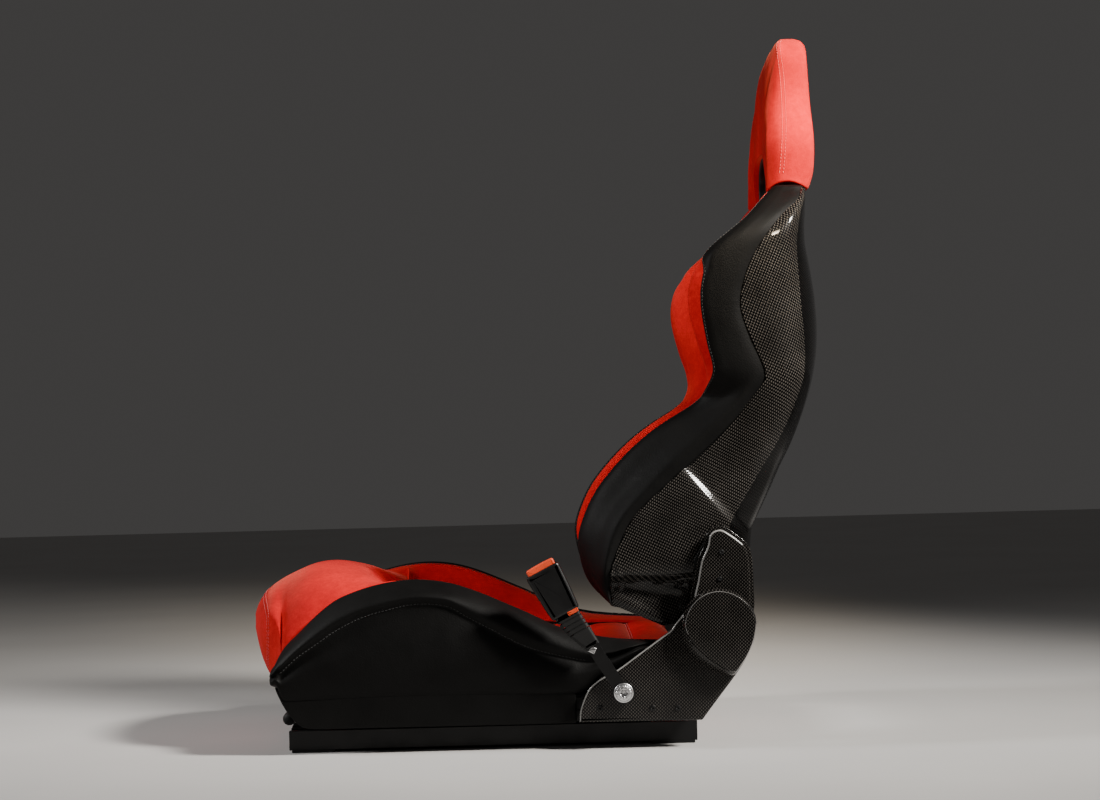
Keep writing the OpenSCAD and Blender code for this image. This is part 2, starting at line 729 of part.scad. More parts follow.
module buckle_strap() {
    anchor = [anchor_y, anchor_z];
    color(bright_steel) difference() {
        union() {
            plate(strap_x) {
                translate(anchor) circle(r = 14);
                strip(anchor, [127, 125], 16);
            }
            in_buckle() plate([-strap_half, strap_half]) {
                strip([10, -54], [2, -18], 15);
                strip([2.5, -22], [0, 28], 15);
            }
            plate(strap_x) translate([127, 125]) circle(r = 8.6);
        }
        bar_x([strap_x[0] - 1, strap_x[1] + 1], anchor, anchor_bush_r + running);
    }
}

module buckle_boot() {
    color(leather) in_buckle() difference() {
        plate([-9, 9]) polygon([[-15.5, 0], [15.5, 0], [17, -22], [19, -50], [1, -52], [-9, -26]]);
        plate([-strap_half - 0.05, strap_half + 0.05]) {
            strip([12, -62], [1.5, -16], 15.4);
            strip([3, -30], [0, 28], 15.4);
            translate([10, -54]) circle(r = 9);
        }
    }
}

module buckle_case(x, inner_x) {
    color(leather) in_buckle() difference() {
        plate(x) buckle_outline(0);
        plate(inner_x) difference() {
            buckle_outline(2.5);
            translate([-30, -1]) square([60, 5]);
        }
        plate(inner_x) translate([-19, case_length - 6]) square([38, 10]);
        plate([-strap_half - 0.05, strap_half + 0.05]) strip([3, -10], [0, 28], 15.4);
    }
}

module buckle_latch() {
    color(bright_steel) in_buckle() {
        plate([-7, -strap_half]) translate([-12, 8]) square([24, 22]);
        plate([strap_half, 6]) translate([-12, 8]) square([24, 18]);
    }
}

module buckle_button() {
    color([0.9, 0.22, 0.08]) in_buckle() difference() {
        plate([-0.5, 8]) polygon([[-16.5, 36], [16.5, 36], [18.5, 69], [-18.5, 69]]);
        plate([2, 6]) translate([-13, 35]) square([26, 28]);
    }
}

lower_rail(1);  // lower_rail_left
lower_rail(-1);  // lower_rail_right
rail_feet();
rail_end_stops();
upper_rail(1);  // upper_rail_left
upper_rail(-1);  // upper_rail_right
rail_rollers();
cross_tube(tube_front_y);  // cross_tube_front
cross_tube(tube_rear_y);  // cross_tube_rear
side_plate(1);  // side_plate_left
side_plate(-1);  // side_plate_right
frame_bolts();
latch_pins();
recliner_lower(1);  // recliner_lower_left
recliner_lower(-1);  // recliner_lower_right
cushion_pan();
cushion_center();
cushion_front();
cushion_bolster(1);  // cushion_bolster_left
cushion_bolster(-1);  // cushion_bolster_right
lower_cover(1);  // lower_cover_left
lower_cover(-1);  // lower_cover_right
lower_cover_screws();
buckle_bush();
buckle_bolt();
buckle_bolt_nut();
slide_release_bar();
slide_release_grip();
back_shell();
recliner_upper(1);  // recliner_upper_left
recliner_upper(-1);  // recliner_upper_right
arm_plate(1);  // arm_plate_left
arm_plate(-1);  // arm_plate_right
arm_bolts();
arm_cover(1);  // arm_cover_left
arm_cover(-1);  // arm_cover_right
arm_cover_screws();
headrest_pad();
headrest_panel();
harness_bezel();
shoulder_pad(1);  // shoulder_pad_left
shoulder_pad(-1);  // shoulder_pad_right
back_pad([400, 648]);  // back_center_pad
back_pad([190, 398]);  // lumbar_pad
wing_bolster(1);  // wing_bolster_left
wing_bolster(-1);  // wing_bolster_right
lower_bolster(1);  // lower_bolster_left
lower_bolster(-1);  // lower_bolster_right
sync_shaft();
recline_lever();
recline_lever_grip();
buckle_strap();
buckle_boot();
buckle_case([0, 11], [-1, 8.5]);  // buckle_case_outer
buckle_case([-11, 0], [-8.5, 1]);  // buckle_case_inner
buckle_latch();
buckle_button();
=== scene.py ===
import math

import bmesh
import bpy
import numpy as np
from mathutils import Euler, Matrix, Vector
from mathutils.bvhtree import BVHTree


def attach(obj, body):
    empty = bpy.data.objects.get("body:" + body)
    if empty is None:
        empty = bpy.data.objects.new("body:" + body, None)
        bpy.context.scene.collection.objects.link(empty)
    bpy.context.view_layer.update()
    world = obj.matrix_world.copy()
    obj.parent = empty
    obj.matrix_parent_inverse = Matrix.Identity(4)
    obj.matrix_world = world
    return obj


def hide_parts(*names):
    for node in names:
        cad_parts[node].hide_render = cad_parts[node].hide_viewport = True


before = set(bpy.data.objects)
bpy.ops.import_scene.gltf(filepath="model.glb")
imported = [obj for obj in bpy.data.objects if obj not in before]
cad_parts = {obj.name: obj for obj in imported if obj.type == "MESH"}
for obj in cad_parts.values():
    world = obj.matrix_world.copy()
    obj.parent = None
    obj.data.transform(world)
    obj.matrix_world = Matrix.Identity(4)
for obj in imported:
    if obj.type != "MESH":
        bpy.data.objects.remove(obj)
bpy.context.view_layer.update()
scene = bpy.context.scene
MM = 0.001
QUARTER = math.pi / 2

# ---- profile lines of the seat, the same as the CAD part's ----

# Cushion, as (y, z)
RIDGE = [(-278, 86), (-264, 122), (-238, 150), (-212, 174), (-187, 191), (-136, 207), (-86, 211), (-37, 202),
    (37, 171), (86, 148), (136, 134), (235, 127)]
MIDDLE = [(-118, 172), (-60, 150), (20, 132), (110, 122), (228, 124)]
CROWN = [(-315, 164), (-311, 176), (-300, 192), (-282, 203), (-256, 214), (-236, 222), (-210, 224), (-183, 218),
    (-157, 208), (-119, 176)]
CHIN = [(-315, 150), (-310, 120), (-303, 98), (-294, 83), (-284, 75), (-266, 67.5), (-248, 66.5), (-119, 66.5)]
FRONT_WIDTH = [(-315, 108), (-309, 142), (-300, 167), (-290, 183), (-278, 196), (-262, 203), (-238, 203),
    (-212, 190), (-187, 174), (-162, 164), (-136, 159), (-119, 158)]
HEM = [(-278, 84), (-270, 80), (-262, 72), (-248, 66), (235, 66)]
# Crease between the top roll and the side panel of a cushion bolster
CREASE = [(-278, 84), (-262, 98), (-240, 118), (-215, 135), (-191, 150), (-163, 164), (-130, 174), (-90, 181),
    (-52, 177), (-28, 163), (0, 148), (39, 127), (73, 116), (128, 105), (235, 98)]
SKIRT = [(-267, 84), (-262, 71), (-252, 53), (-239, 38), (-228, 33), (-189, 32), (104, 31), (104, 74),
    (-244, 74), (-258, 82)]
# Backrest, as (z, y) or (z, x)
SHELL_EDGE = [(165, 152), (212, 151), (249, 163), (285, 183), (320, 221), (360, 266), (402, 310), (434, 338),
    (450, 349), (467, 347), (505, 331), (542, 321), (579, 328), (616, 346), (656, 378), (676, 400), (690, 404)]
SHELL_REAR = [(165, 318), (226, 329), (263, 334), (286, 345), (313, 359), (341, 373), (366, 387), (398, 402),
    (429, 414), (454, 421), (480, 426.5), (513, 429.5), (551, 428), (577, 424.5), (600, 420), (627, 415),
    (690, 414)]
SHELL_WIDTH = [(165, 231), (200, 231), (213, 243), (300, 243), (350, 240), (430, 238), (540, 241), (620, 240),
    (650, 228), (672, 205), (690, 182)]
SHELL_SQUARE = [(165, 9), (260, 8), (340, 6), (420, 4), (480, 3.5), (690, 3.5)]
RIM = [(169, 153), (203, 123), (248, 112), (279, 118), (324, 142), (378, 194), (432, 269), (460, 276),
    (493, 266), (543, 255), (578, 259.5), (612, 279), (653, 329), (672, 347), (694, 368)]
WING_SEAM = [(434, 271), (460, 284), (493, 278), (543, 271), (578, 274), (612, 290), (653, 332), (672, 350),
    (694, 371)]
BACK_MIDDLE = [(190, 215), (250, 232), (320, 262), (400, 298), (480, 326), (560, 344), (650, 357)]
SHOULDER_FRONT = [(648, 325), (672, 346), (690, 364)]
HEAD_WIDTH = [(690, 172), (750, 165), (805, 135), (850, 115), (872, 106), (884, 96), (891, 84), (896, 62),
    (899, 35)]
HEAD_FRONT = [(690, 365), (749, 366.5), (808, 371), (857, 376), (878, 382), (890, 387), (896, 392), (899, 396)]
HEAD_REAR = [(690, 416), (711, 423), (756, 426), (807, 425), (865, 425), (882, 424), (891, 420), (896, 415),
    (899, 410)]
HEAD_SEAM = [(690, 380), (728, 384), (768, 388), (810, 390.5), (844, 390.5), (885, 389), (899, 398)]

RIDGE_X = 215
MIDDLE_HALF = 158
BACK_HALF = 110
PIVOT = (281, 148)
ANCHOR = (162, 70)
SHELL_LOW, SHELL_TOP = 165, 690


def hermite(a, b, slope_a, slope_b, u):
    """Point at u, from 0 to 1, on a cubic between a and b."""
    return ((2 * u**3 - 3 * u**2 + 1) * a + (u**3 - 2 * u**2 + u) * slope_a
            + (3 * u**2 - 2 * u**3) * b + (u**3 - u**2) * slope_b)


def curve(points, t):
    """Smooth curve through (t, value) points, at t."""
    ts, vs = np.array(points, float).T
    k = np.arange(len(ts))
    a, b = np.maximum(k - 1, 0), np.minimum(k + 1, len(ts) - 1)
    slope = (vs[b] - vs[a]) / (ts[b] - ts[a])
    i = np.clip(np.searchsorted(ts, t, side="right") - 1, 0, len(ts) - 2)
    h = ts[i + 1] - ts[i]
    return hermite(vs[i], vs[i + 1], h * slope[i], h * slope[i + 1], np.clip((t - ts[i]) / h, 0, 1))


def smooth(a, b, t):
    """0 below a, 1 above b, smooth between."""
    u = np.clip((t - a) / (b - a), 0, 1)
    return u * u * (3 - 2 * u)


def mid(a, b, t):
    """The value t of the way from a to b."""
    return a + (b - a) * t


def turns(count):
    """Even angles round a full circle."""
    return np.linspace(0, 2 * math.pi, count, endpoint=False)


def starts(steps):
    """Where each part of a chained line starts, and where the last one ends."""
    return np.concatenate([[0], np.cumsum(steps)])


def shell_y(z, x, inset=0.0):
    """Rear surface of the shell's rounded box section at height z, moved in by inset."""
    n, w, edge = curve(SHELL_SQUARE, z), curve(SHELL_WIDTH, z) - inset, curve(SHELL_EDGE, z)
    u = np.minimum(np.abs(x) / w, 1)
    return edge + (curve(SHELL_REAR, z) - inset - edge) * (1 - u**n) ** (1 / n)


# ---- node materials ----

class Shader:
    """A material's node tree, with short calls to add to it."""

    def __init__(self, name, colour, roughness, metallic=0.0, **sockets):
        self.material = bpy.data.materials.new(name)
        self.material.use_nodes = True
        self.tree = self.material.node_tree
        self.bsdf = self.tree.nodes["Principled BSDF"]
        values = {"Base Color": (*colour, 1), "Roughness": roughness, "Metallic": metallic, **sockets}
        for key, value in values.items():
            self.bsdf.inputs[key.replace("_", " ")].default_value = value

    def add(self, kind, inputs=None, **props):
        node = self.tree.nodes.new("ShaderNode" + kind)
        for key, value in props.items():
            setattr(node, key, value)
        for key, value in (inputs or {}).items():
            self.feed(value, node.inputs[key])
        return node

    def feed(self, value, socket):
        if isinstance(value, bpy.types.NodeSocket):
            self.tree.links.new(value, socket)
        else:
            socket.default_value = value

    def math(self, operation, a, b=0.0, c=0.0):
        return self.add("Math", {0: a, 1: b, 2: c}, operation=operation).outputs[0]

    def times(self, a, b):
        return self.math("MULTIPLY", a, b)

    def place(self):
        return self.add("TexCoord").outputs["Object"]

    def noise(self, scale, detail=2.0, roughness=0.5):
        return self.add("TexNoise", {"Vector": self.place(), "Scale": scale, "Detail": detail,
                                               "Roughness": roughness}).outputs["Fac"]

    def range(self, value, low, high, to_low, to_high):
        return self.add("MapRange", {"Value": value, "From Min": low, "From Max": high,
                                               "To Min": to_low, "To Max": to_high}).outputs[0]

    def mix(self, factor, a, b):
        node = self.add("Mix", {"Factor": factor}, data_type="RGBA")
        for key, value in (("A", a), ("B", b)):
            socket = [s for s in node.inputs if s.name == key and s.type == "RGBA"][0]
            self.feed(value if isinstance(value, bpy.types.NodeSocket) else (*value, 1), socket)
        return [s for s in node.outputs if s.type == "RGBA"][0]

    def bump(self, height, strength, distance, normal=None):
        inputs = {"Height": height, "Strength": strength, "Distance": distance}
        if normal is not None:
            inputs["Normal"] = normal
        return self.add("Bump", inputs).outputs[0]

    def link(self, **sockets):
        for key, value in sockets.items():
            self.tree.links.new(value, self.bsdf.inputs[key.replace("_", " ")])


def shaded(colour, factor, lift=0.0):
    """A colour made darker or brighter."""
    return [min(1, c * factor + lift) for c in colour]


def suede(name, deep, bright):
    s = Shader(name, bright, 0.92, Sheen_Weight=0.2, Sheen_Roughness=0.4, Sheen_Tint=(1.0, 0.3, 0.2, 1),
               Specular_IOR_Level=0.1)
    brushed, nap, mottle = s.noise(11, 4, 0.6), s.noise(1500, 3, 0.6), s.noise(160, 3, 0.6)
    tone = s.mix(s.range(brushed, 0.35, 0.68, 0, 1), deep, bright)
    tone = s.mix(s.range(mottle, 0.3, 0.75, 0, 0.45), tone, shaded(deep, 0.6))
    tone = s.mix(s.range(nap, 0.35, 0.8, 0, 0.35), tone, shaded(bright, 1.25, 0.02))
    s.link(Base_Color=tone, Roughness=s.range(mottle, 0.3, 0.7, 0.86, 0.98),
           Normal=s.bump(mottle, 0.25, 0.0012, s.bump(nap, 0.5, 0.0004)))
    return s.material


def leather(name, colour, grain=620.0, gloss=0.58):
    s = Shader(name, colour, gloss, Specular_IOR_Level=0.13)
    cells = s.add("TexVoronoi", {"Vector": s.place(), "Scale": grain}, feature="SMOOTH_F1")
    warp, broad = s.noise(grain * 0.45, 3, 0.6), s.noise(14, 3, 0.55)
    pores = s.times(cells.outputs["Distance"], s.range(warp, 0.2, 0.8, 0.6, 1.3))
    s.link(Base_Color=s.mix(s.range(broad, 0.35, 0.7, 0, 1), shaded(colour, 0.7), shaded(colour, 1.35)),
           Roughness=s.math("ADD", s.range(broad, 0.3, 0.7, gloss - 0.06, gloss + 0.07),
                            s.range(pores, 0, 1, 0.06, -0.03)),
           Normal=s.bump(s.noise(38, 3, 0.55), 0.16, 0.0035, s.bump(pores, 0.35, 0.0005)))
    return s.material


def carbon(name, tow=2.4, turn=0.0, shade=1.0):
    """Plain woven carbon under clear resin, with a painted glint on the warp tows, brightest on their crests; shade
    scales that glint down. The weave follows the UV map named weave, which is in metres.
    """
    s = Shader(name, (0.02, 0.02, 0.021), 0.36, Specular_IOR_Level=0.04, Coat_Weight=1.0, Coat_Roughness=0.055,
               Coat_IOR=1.27)
    uv = s.add("UVMap", uv_map="weave").outputs[0]
    size = 1 / (tow * MM)
    place = s.add("Mapping", {"Vector": uv, "Rotation": (0, 0, turn), "Scale": (size, size, size)})
    axes = s.add("SeparateXYZ", {0: place.outputs[0]})
    u, v = axes.outputs[0], axes.outputs[1]
    cell = s.math("ADD", s.math("FLOOR", u), s.math("FLOOR", v))
    warp_up = s.math("ABSOLUTE", s.math("MODULO", cell, 2))
    hill_u, hill_v = [s.math("SINE", s.times(s.math("FRACT", axis), math.pi)) for axis in (u, v)]
    warp = s.times(hill_u, s.math("MULTIPLY_ADD", hill_v, 0.35, 0.65))
    weft = s.times(hill_v, s.math("MULTIPLY_ADD", hill_u, 0.35, 0.65))
    height = s.math("ADD", s.times(warp, warp_up), s.times(weft, s.math("SUBTRACT", 1.0, warp_up)))
    fibre, cloud = s.noise(2600, 2, 0.6), s.noise(24, 3, 0.5)
    # Painted glint: warp tows are coloured brighter than weft tows, most on their crests, in place of the fibres'
    # reflection
    tow_glint = s.times(s.times(warp_up, s.range(cloud, 0.3, 0.7, 0.55, 1.0)), s.range(height, 0.3, 0.95, 0.0, 1.0))
    tone = s.mix(tow_glint, (0.0004, 0.0004, 0.0005), shaded((0.125, 0.112, 0.1), shade))
    s.link(Base_Color=s.mix(s.range(fibre, 0.3, 0.7, 0, 0.25), tone, (0.002, 0.002, 0.002)),
           Roughness=s.range(warp_up, 0, 1, 0.44, 0.3), Normal=s.bump(height, 0.5, 0.00025),
           Coat_Normal=s.bump(s.noise(30, 2, 0.5), 0.006, 0.002))
    return s.material


def painted(name, colour, gloss):
    s = Shader(name, colour, gloss, Specular_IOR_Level=0.3)
    peel, wear, scratch = s.noise(420, 2, 0.5), s.noise(28, 5, 0.65), s.noise(90, 4, 0.7)
    s.link(Base_Color=s.mix(s.range(wear, 0.62, 0.74, 0, 0.35), colour, shaded(colour, 2.6, 0.003)),
           Roughness=s.math("ADD", s.range(wear, 0.3, 0.75, gloss - 0.05, gloss + 0.1),
                            s.range(scratch, 0.4, 0.7, 0, 0.06)),
           Normal=s.bump(peel, 0.12, 0.0004))
    return s.material


def steel(name, colour, gloss):
    s = Shader(name, colour, gloss, 1.0)
    stain, brush = s.noise(70, 4, 0.6), s.noise(900, 3, 0.6)
    s.link(Base_Color=s.mix(s.range(stain, 0.3, 0.75, 0, 0.6), colour, shaded(colour, 0.62)),
           Roughness=s.math("ADD", s.range(stain, 0.3, 0.7, gloss - 0.06, gloss + 0.1),
                            s.range(brush, 0.3, 0.7, -0.03, 0.05)),
           Normal=s.bump(brush, 0.1, 0.0002))
    return s.material


def plastic(name, colour, gloss, grain=1100.0, depth=0.22):
    s = Shader(name, colour, gloss, Specular_IOR_Level=0.34)
    spark = s.add("TexVoronoi", {"Vector": s.place(), "Scale": grain}).outputs["Distance"]
    cloud = s.noise(40, 3, 0.6)
    s.link(Base_Color=s.mix(s.range(cloud, 0.3, 0.7, 0, 1), shaded(colour, 0.8), shaded(colour, 1.2)),
           Roughness=s.range(cloud, 0.3, 0.7, gloss - 0.05, gloss + 0.06), Normal=s.bump(spark, depth, 0.0003))
    return s.material


def thread(name, colour):
    s = Shader(name, colour, 0.6, Sheen_Weight=0.3)
    twist = s.add("TexWave", {"Vector": s.place(), "Scale": 900.0, "Distortion": 2.0}).outputs["Fac"]
    s.link(Base_Color=s.mix(twist, shaded(colour, 0.6), shaded(colour, 1.25)), Normal=s.bump(twist, 0.4, 0.0002))
    return s.material


SUEDE = suede("suede_red", (0.36, 0.002, 0.0045), (0.68, 0.006, 0.009))
LEATHER = leather("leather_black", (0.0022, 0.0021, 0.002))
CARBON = carbon("carbon_gloss", turn=math.radians(-20))
# Carbon with its painted glint cut to a tenth: painted shade for the shell's rear corners
CARBON_SHADE_BAND = carbon("carbon_painted_shade_band", turn=math.radians(-20), shade=0.1)
CARBON_COVER = carbon("carbon_cover", tow=2.1, shade=0.75)
# Painted highlight: a light grey strip for the carbon parts' rounded edges where they face the light
PAINTED_HIGHLIGHT_RIM = plastic("painted_highlight_rim", (0.24, 0.235, 0.228), 0.2, 500.0, 0.03)
STEEL_BLACK = painted("steel_black_satin", (0.0022, 0.0022, 0.0024), 0.42)
STEEL_BRIGHT = steel("steel_zinc", (0.66, 0.66, 0.67), 0.3)
PLASTIC = plastic("plastic_black", (0.0034, 0.0034, 0.0036), 0.4)
RUBBER = plastic("rubber_black", (0.0046, 0.0046, 0.0046), 0.66, 600.0, 0.35)
BUTTON = plastic("plastic_orange_red", (0.78, 0.075, 0.022), 0.36, 1400.0, 0.08)
THREAD_RED = thread("thread_red", (0.62, 0.05, 0.045))
THREAD_BLACK = thread("thread_black", (0.012, 0.012, 0.0125))


# ---- mesh building ----

def new_object(name, points, faces, materials, paint=None, uvs=None, angle=None):
    """A mesh object from points in millimetres. paint gives each face's material, uvs its corners' weave place."""
    mesh = bpy.data.meshes.new(name)
    mesh.from_pydata((np.asarray(points, float) * MM).tolist(), [], faces)
    for material in materials:
        mesh.materials.append(material)
    if paint is not None:
        mesh.polygons.foreach_set("material_index", np.asarray(paint, np.int32))
    if uvs is not None:
        layer = mesh.uv_layers.new(name="weave")
        layer.data.foreach_set("uv", (np.asarray(uvs, float) * MM).astype(np.float32).ravel())
    mesh.shade_smooth()
    if angle is not None:
        mesh.set_sharp_from_angle(angle=math.radians(angle))
    mesh.validate()
    return linked(name, mesh)


def linked(name, mesh):
    obj = bpy.data.objects.new(name, mesh)
    scene.collection.objects.link(obj)
    return obj


def skin(rows, cols, closed=True):
    """Faces between rows of points, which run round if closed."""
    return [(r * cols + c, r * cols + (c + 1) % cols, (r + 1) * cols + (c + 1) % cols, (r + 1) * cols + c)
            for r in range(rows - 1) for c in range(cols if closed else cols - 1)]


def turned_out(obj, weld=False):
    """Turns a mesh's faces outwards, with its doubled points merged first if asked."""
    bm = bmesh.new()
    bm.from_mesh(obj.data)
    if weld:
        bmesh.ops.remove_doubles(bm, verts=bm.verts, dist=1e-6)
    bmesh.ops.recalc_face_normals(bm, faces=bm.faces)
    bm.to_mesh(obj.data)
    bm.free()
    return obj


def chain(points, steps, sharp=(), closed=True):
    """Points on a smooth line through control points: steps[k] of them from point k on, corners where sharp."""
    p = np.array(points, float)
    n = len(p)
    out = []
    for k in range(n if closed else n - 1):
        a, b, before, after = p[k], p[(k + 1) % n], p[k - 1], p[(k + 2) % n]
        chord = np.linalg.norm(b - a) + 1e-9
        first = not closed and k == 0
        last = not closed and k == n - 2
        ta = b - a if first or k in sharp else (b - before) * chord / (chord + np.linalg.norm(a - before))
        tb = b - a if last or (k + 1) % n in sharp else (after - a) * chord / (chord + np.linalg.norm(after - b))
        out += [hermite(a, b, ta, tb, i / steps[k]) for i in range(steps[k])]
    return np.array(out if closed else out + [p[-1]])


def along(line, want):
    """Points along a line: want turns its whole length into the distances to place them at."""
    at = starts(np.linalg.norm(np.diff(line, axis=0), axis=1))
    return np.column_stack([np.interp(want(at[-1]), at, line[:, k]) for k in range(line.shape[1])])


def evened(outline, count):
    """A closed outline with even gaps between its points."""
    return along(np.array([*outline, outline[0]], float), lambda end: np.linspace(0, end, count, endpoint=False))


def rounded(outline, steps, sharp=(), count=60):
    """A closed outline smoothed through its points, with corners where sharp."""
    return evened(chain(outline, [steps] * len(outline), sharp), count)


def domed_end(ring, outwards, depth, count=4):
    """Rings that close a loft with a rounded end."""
    centre = ring.mean(axis=0)
    out = []
    for k in range(1, count + 1):
        a = math.pi / 2 * k / (count + 0.4)
        out.append(centre + (ring - centre) * math.cos(a) ** 0.75 + np.array(outwards, float) * depth * math.sin(a))
    return out


def capped(rings, first, last, counts=(4, 4)):
    """Rings with both ends rounded off. first and last are each (way out, depth)."""
    return domed_end(rings[0], *first, counts[0])[::-1] + rings + domed_end(rings[-1], *last, counts[1])


def loft(name, rings, materials, second=(), ends=True, angle=None):
    """A closed skin through rings of points. The columns in second take the second material."""
    rings = np.array(rings, float)
    rows, cols = rings.shape[:2]
    points = rings.reshape(-1, 3).tolist()
    faces = skin(rows, cols)
    for r, back in ((0, -1), (rows - 1, 1)) if ends else ():
        hub = len(points)
        points.append(rings[r].mean(axis=0).tolist())
        faces += [(r * cols + c, r * cols + (c + 1) % cols)[::back] + (hub,) for c in range(cols)]
    paint = [int(c in second) for c in range(cols)] * (rows - 1 + 2 * ends)
    obj = turned_out(new_object(name, points, faces, materials, paint, None, angle))
    obj["cols"], obj["rows"] = cols, rows
    return obj


def grid_ids(obj, rows, cols):
    """Indices of a loft's points on these rows and columns."""
    return [r * obj["cols"] + c for r in rows for c in cols]


def line_of(obj, rows, cols):
    """Places of a loft's points on these rows and columns, in millimetres."""
    return np.array([obj.data.vertices[i].co for i in grid_ids(obj, rows, cols)]) / MM


def finished(obj):
    """Applies an object's modifiers."""
    bpy.context.view_layer.update()
    graph = bpy.context.evaluated_depsgraph_get()
    mesh = bpy.data.meshes.new_from_object(obj.evaluated_get(graph), preserve_all_data_layers=True, depsgraph=graph)
    obj.modifiers.clear()
    obj.data = mesh
    return obj


def subdivide(obj):
    obj.modifiers.new("smooth", "SUBSURF").levels = 1
    return finished(obj)


def mirrored(obj, name):
    """A copy on the other side of the seat's centre plane."""
    mesh = obj.data.copy()
    mesh.transform(Matrix.Diagonal((-1, 1, 1, 1)))
    mesh.flip_normals()
    return linked(name, mesh)


def cut(obj, cutter):
    """Cuts a closed solid out of a piece and removes it."""
    m = obj.modifiers.new("cut", "BOOLEAN")
    m.operation, m.object, m.solver = "DIFFERENCE", cutter, "MANIFOLD"
    finished(obj)
    bpy.data.objects.remove(cutter)
    return obj


def thickened(obj, thickness):
    """Gives a skin a thickness in millimetres, inwards."""
    m = obj.modifiers.new("thick", "SOLIDIFY")
    m.thickness, m.offset = thickness * MM, -1
    return finished(obj)


def placed(obj, body, nodes=()):
    """Says what a piece rides on, and hides the CAD nodes it stands for."""
    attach(obj, body)
    if nodes:
        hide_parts(*nodes)
    return obj


def outline_normals(outline):
    """Unit normals of a closed outline that runs anticlockwise, pointing out."""
    p = np.array(outline, float)
    d = np.roll(p, -1, axis=0) - np.roll(p, 1, axis=0)
    n = np.stack([d[:, 1], -d[:, 0]], axis=1)
    return n / (np.linalg.norm(n, axis=1, keepdims=True) + 1e-9)


def anticlockwise(outline):
    p = np.array(outline, float)
    q = np.roll(p, -1, axis=0)
    return p if np.sum(p[:, 0] * q[:, 1] - q[:, 0] * p[:, 1]) > 0 else p[::-1]


EDGE_TURNS = 7
# Way in (y, z) towards the light: edges facing it take the painted highlight strip
LIGHT_TOWARDS = np.array([-0.5, 0.87])


def stacked(name, rings, side, material, rim=None, highlight_rows=(), faces_light=None):
    """A closed solid through rings along X, woven in its YZ plane, with a painted highlight on its rim rows where
    they face the light.
    """
    cols = len(rings[0])
    points = np.concatenate(rings)
    points[:, 0] *= side
    faces = skin(len(rings), cols)
    faces += [tuple(range(cols - 1, -1, -1)), tuple((len(rings) - 1) * cols + c for c in range(cols))]
    if side < 0:
        faces = [f[::-1] for f in faces]
    uvs = points[[i for f in faces for i in f], 1:]
    paint = np.zeros(len(faces), int)
    # The rim rows facing the light take the painted highlight material
    for r in highlight_rows if rim else ():
        paint[r * cols:(r + 1) * cols] = faces_light
    return new_object(name, points, faces, [material, rim] if rim else [material], paint, uvs)


def plate(name, outline, x, material, edge=2.0, side=1, both=True, rim=None):
    """A flat plate across X with rounded edges, from an outline in (y, z)."""
    p = anticlockwise(outline)
    n = outline_normals(p)
    angles = np.linspace(0, QUARTER, EDGE_TURNS)
    near = [(edge * 1.6, x[0])] + [(edge * (1 - math.sin(a)), x[0] + edge * (1 - math.cos(a))) for a in angles]
    far = [(edge * (1 - math.cos(a)), x[1] - edge * (1 - math.sin(a))) for a in angles] + [(edge * 1.6, x[1])]
    rings = [np.column_stack([np.full(len(p), px), p - n * inset])
             for inset, px in (near if both else [(0, x[0])]) + far]
    # Rows round the outer face's edge, where the painted highlight goes on the side facing the light
    highlight_rows = range(len(rings) - EDGE_TURNS + 1, len(rings) - 3)
    return stacked(name, rings, side, material, rim, highlight_rows, n @ LIGHT_TOWARDS > 0.2)


def tube(name, path, radius, material, sides=10):
    """A round bar along a path."""
    p = np.array(path, float)
    tangents = np.roll(p, -1, axis=0) - np.roll(p, 1, axis=0)
    tangents[0], tangents[-1] = p[1] - p[0], p[-1] - p[-2]
    tangents /= np.linalg.norm(tangents, axis=1, keepdims=True)
    up = np.cross(tangents[0], (0.3, 0.5, 0.8))
    rings = []
    for place, tangent in zip(p, tangents):
        up = up - tangent * (up @ tangent)
        up /= np.linalg.norm(up)
        across = np.cross(tangent, up)
        rings.append([place + radius * (up * math.cos(a) + across * math.sin(a)) for a in turns(sides)])
    return loft(name, rings, [material])


def join(name, parts):
    """One object from several, with each part's materials."""
    bm = bmesh.new()
    materials = []
    woven = any(p.data.uv_layers for p in parts)
    for part in parts:
        mesh = part.data.copy()
        mesh.transform(part.matrix_world)
        if woven and not mesh.uv_layers:
            mesh.uv_layers.new(name="weave")
        for m in mesh.materials:
            if m not in materials:
                materials.append(m)
        index = [materials.index(m) for m in mesh.materials]
        before = len(bm.faces)
        bm.from_mesh(mesh)
        bm.faces.ensure_lookup_table()
        for f in bm.faces[before:]:
            f.material_index = index[f.material_index]
        bpy.data.meshes.remove(mesh)
    mesh = bpy.data.meshes.new(name)
    for m in materials:
        mesh.materials.append(m)
    bm.to_mesh(mesh)
    bm.free()
    for part in parts:
        bpy.data.objects.remove(part)
    return linked(name, mesh)


# ---- padded fabric ----

CLOTH_FRAMES = 20
FABRIC = {"quality": 5, "mass": 0.3, "tension_stiffness": 12.0, "compression_stiffness": 12.0,
          "shear_stiffness": 4.0, "bending_stiffness": 0.4, "vertex_group_mass": "sewn", "pin_stiffness": 1.0,
          "use_pressure": True, "uniform_pressure_force": 4.0}
pads = []


def pad(name, rings, sewn, cap, materials=(SUEDE,), second=(), tacked=((), ())):
    """A padded piece for the cloth simulation, where no point moves further than cap.

    Its points on the sewn columns stay in place, and so do those on the tacked (rows, columns).
    """
    obj = loft(name, rings, materials, second)
    pinned = grid_ids(obj, range(len(rings)), sewn) + grid_ids(obj, *tacked)
    pads.append((obj, sorted(set(int(i) for i in pinned)), cap * MM))
    return obj


def places(mesh):
    co = np.zeros(len(mesh.vertices) * 3, np.float32)
    mesh.vertices.foreach_get("co", co)
    return co.reshape(-1, 3).astype(float)


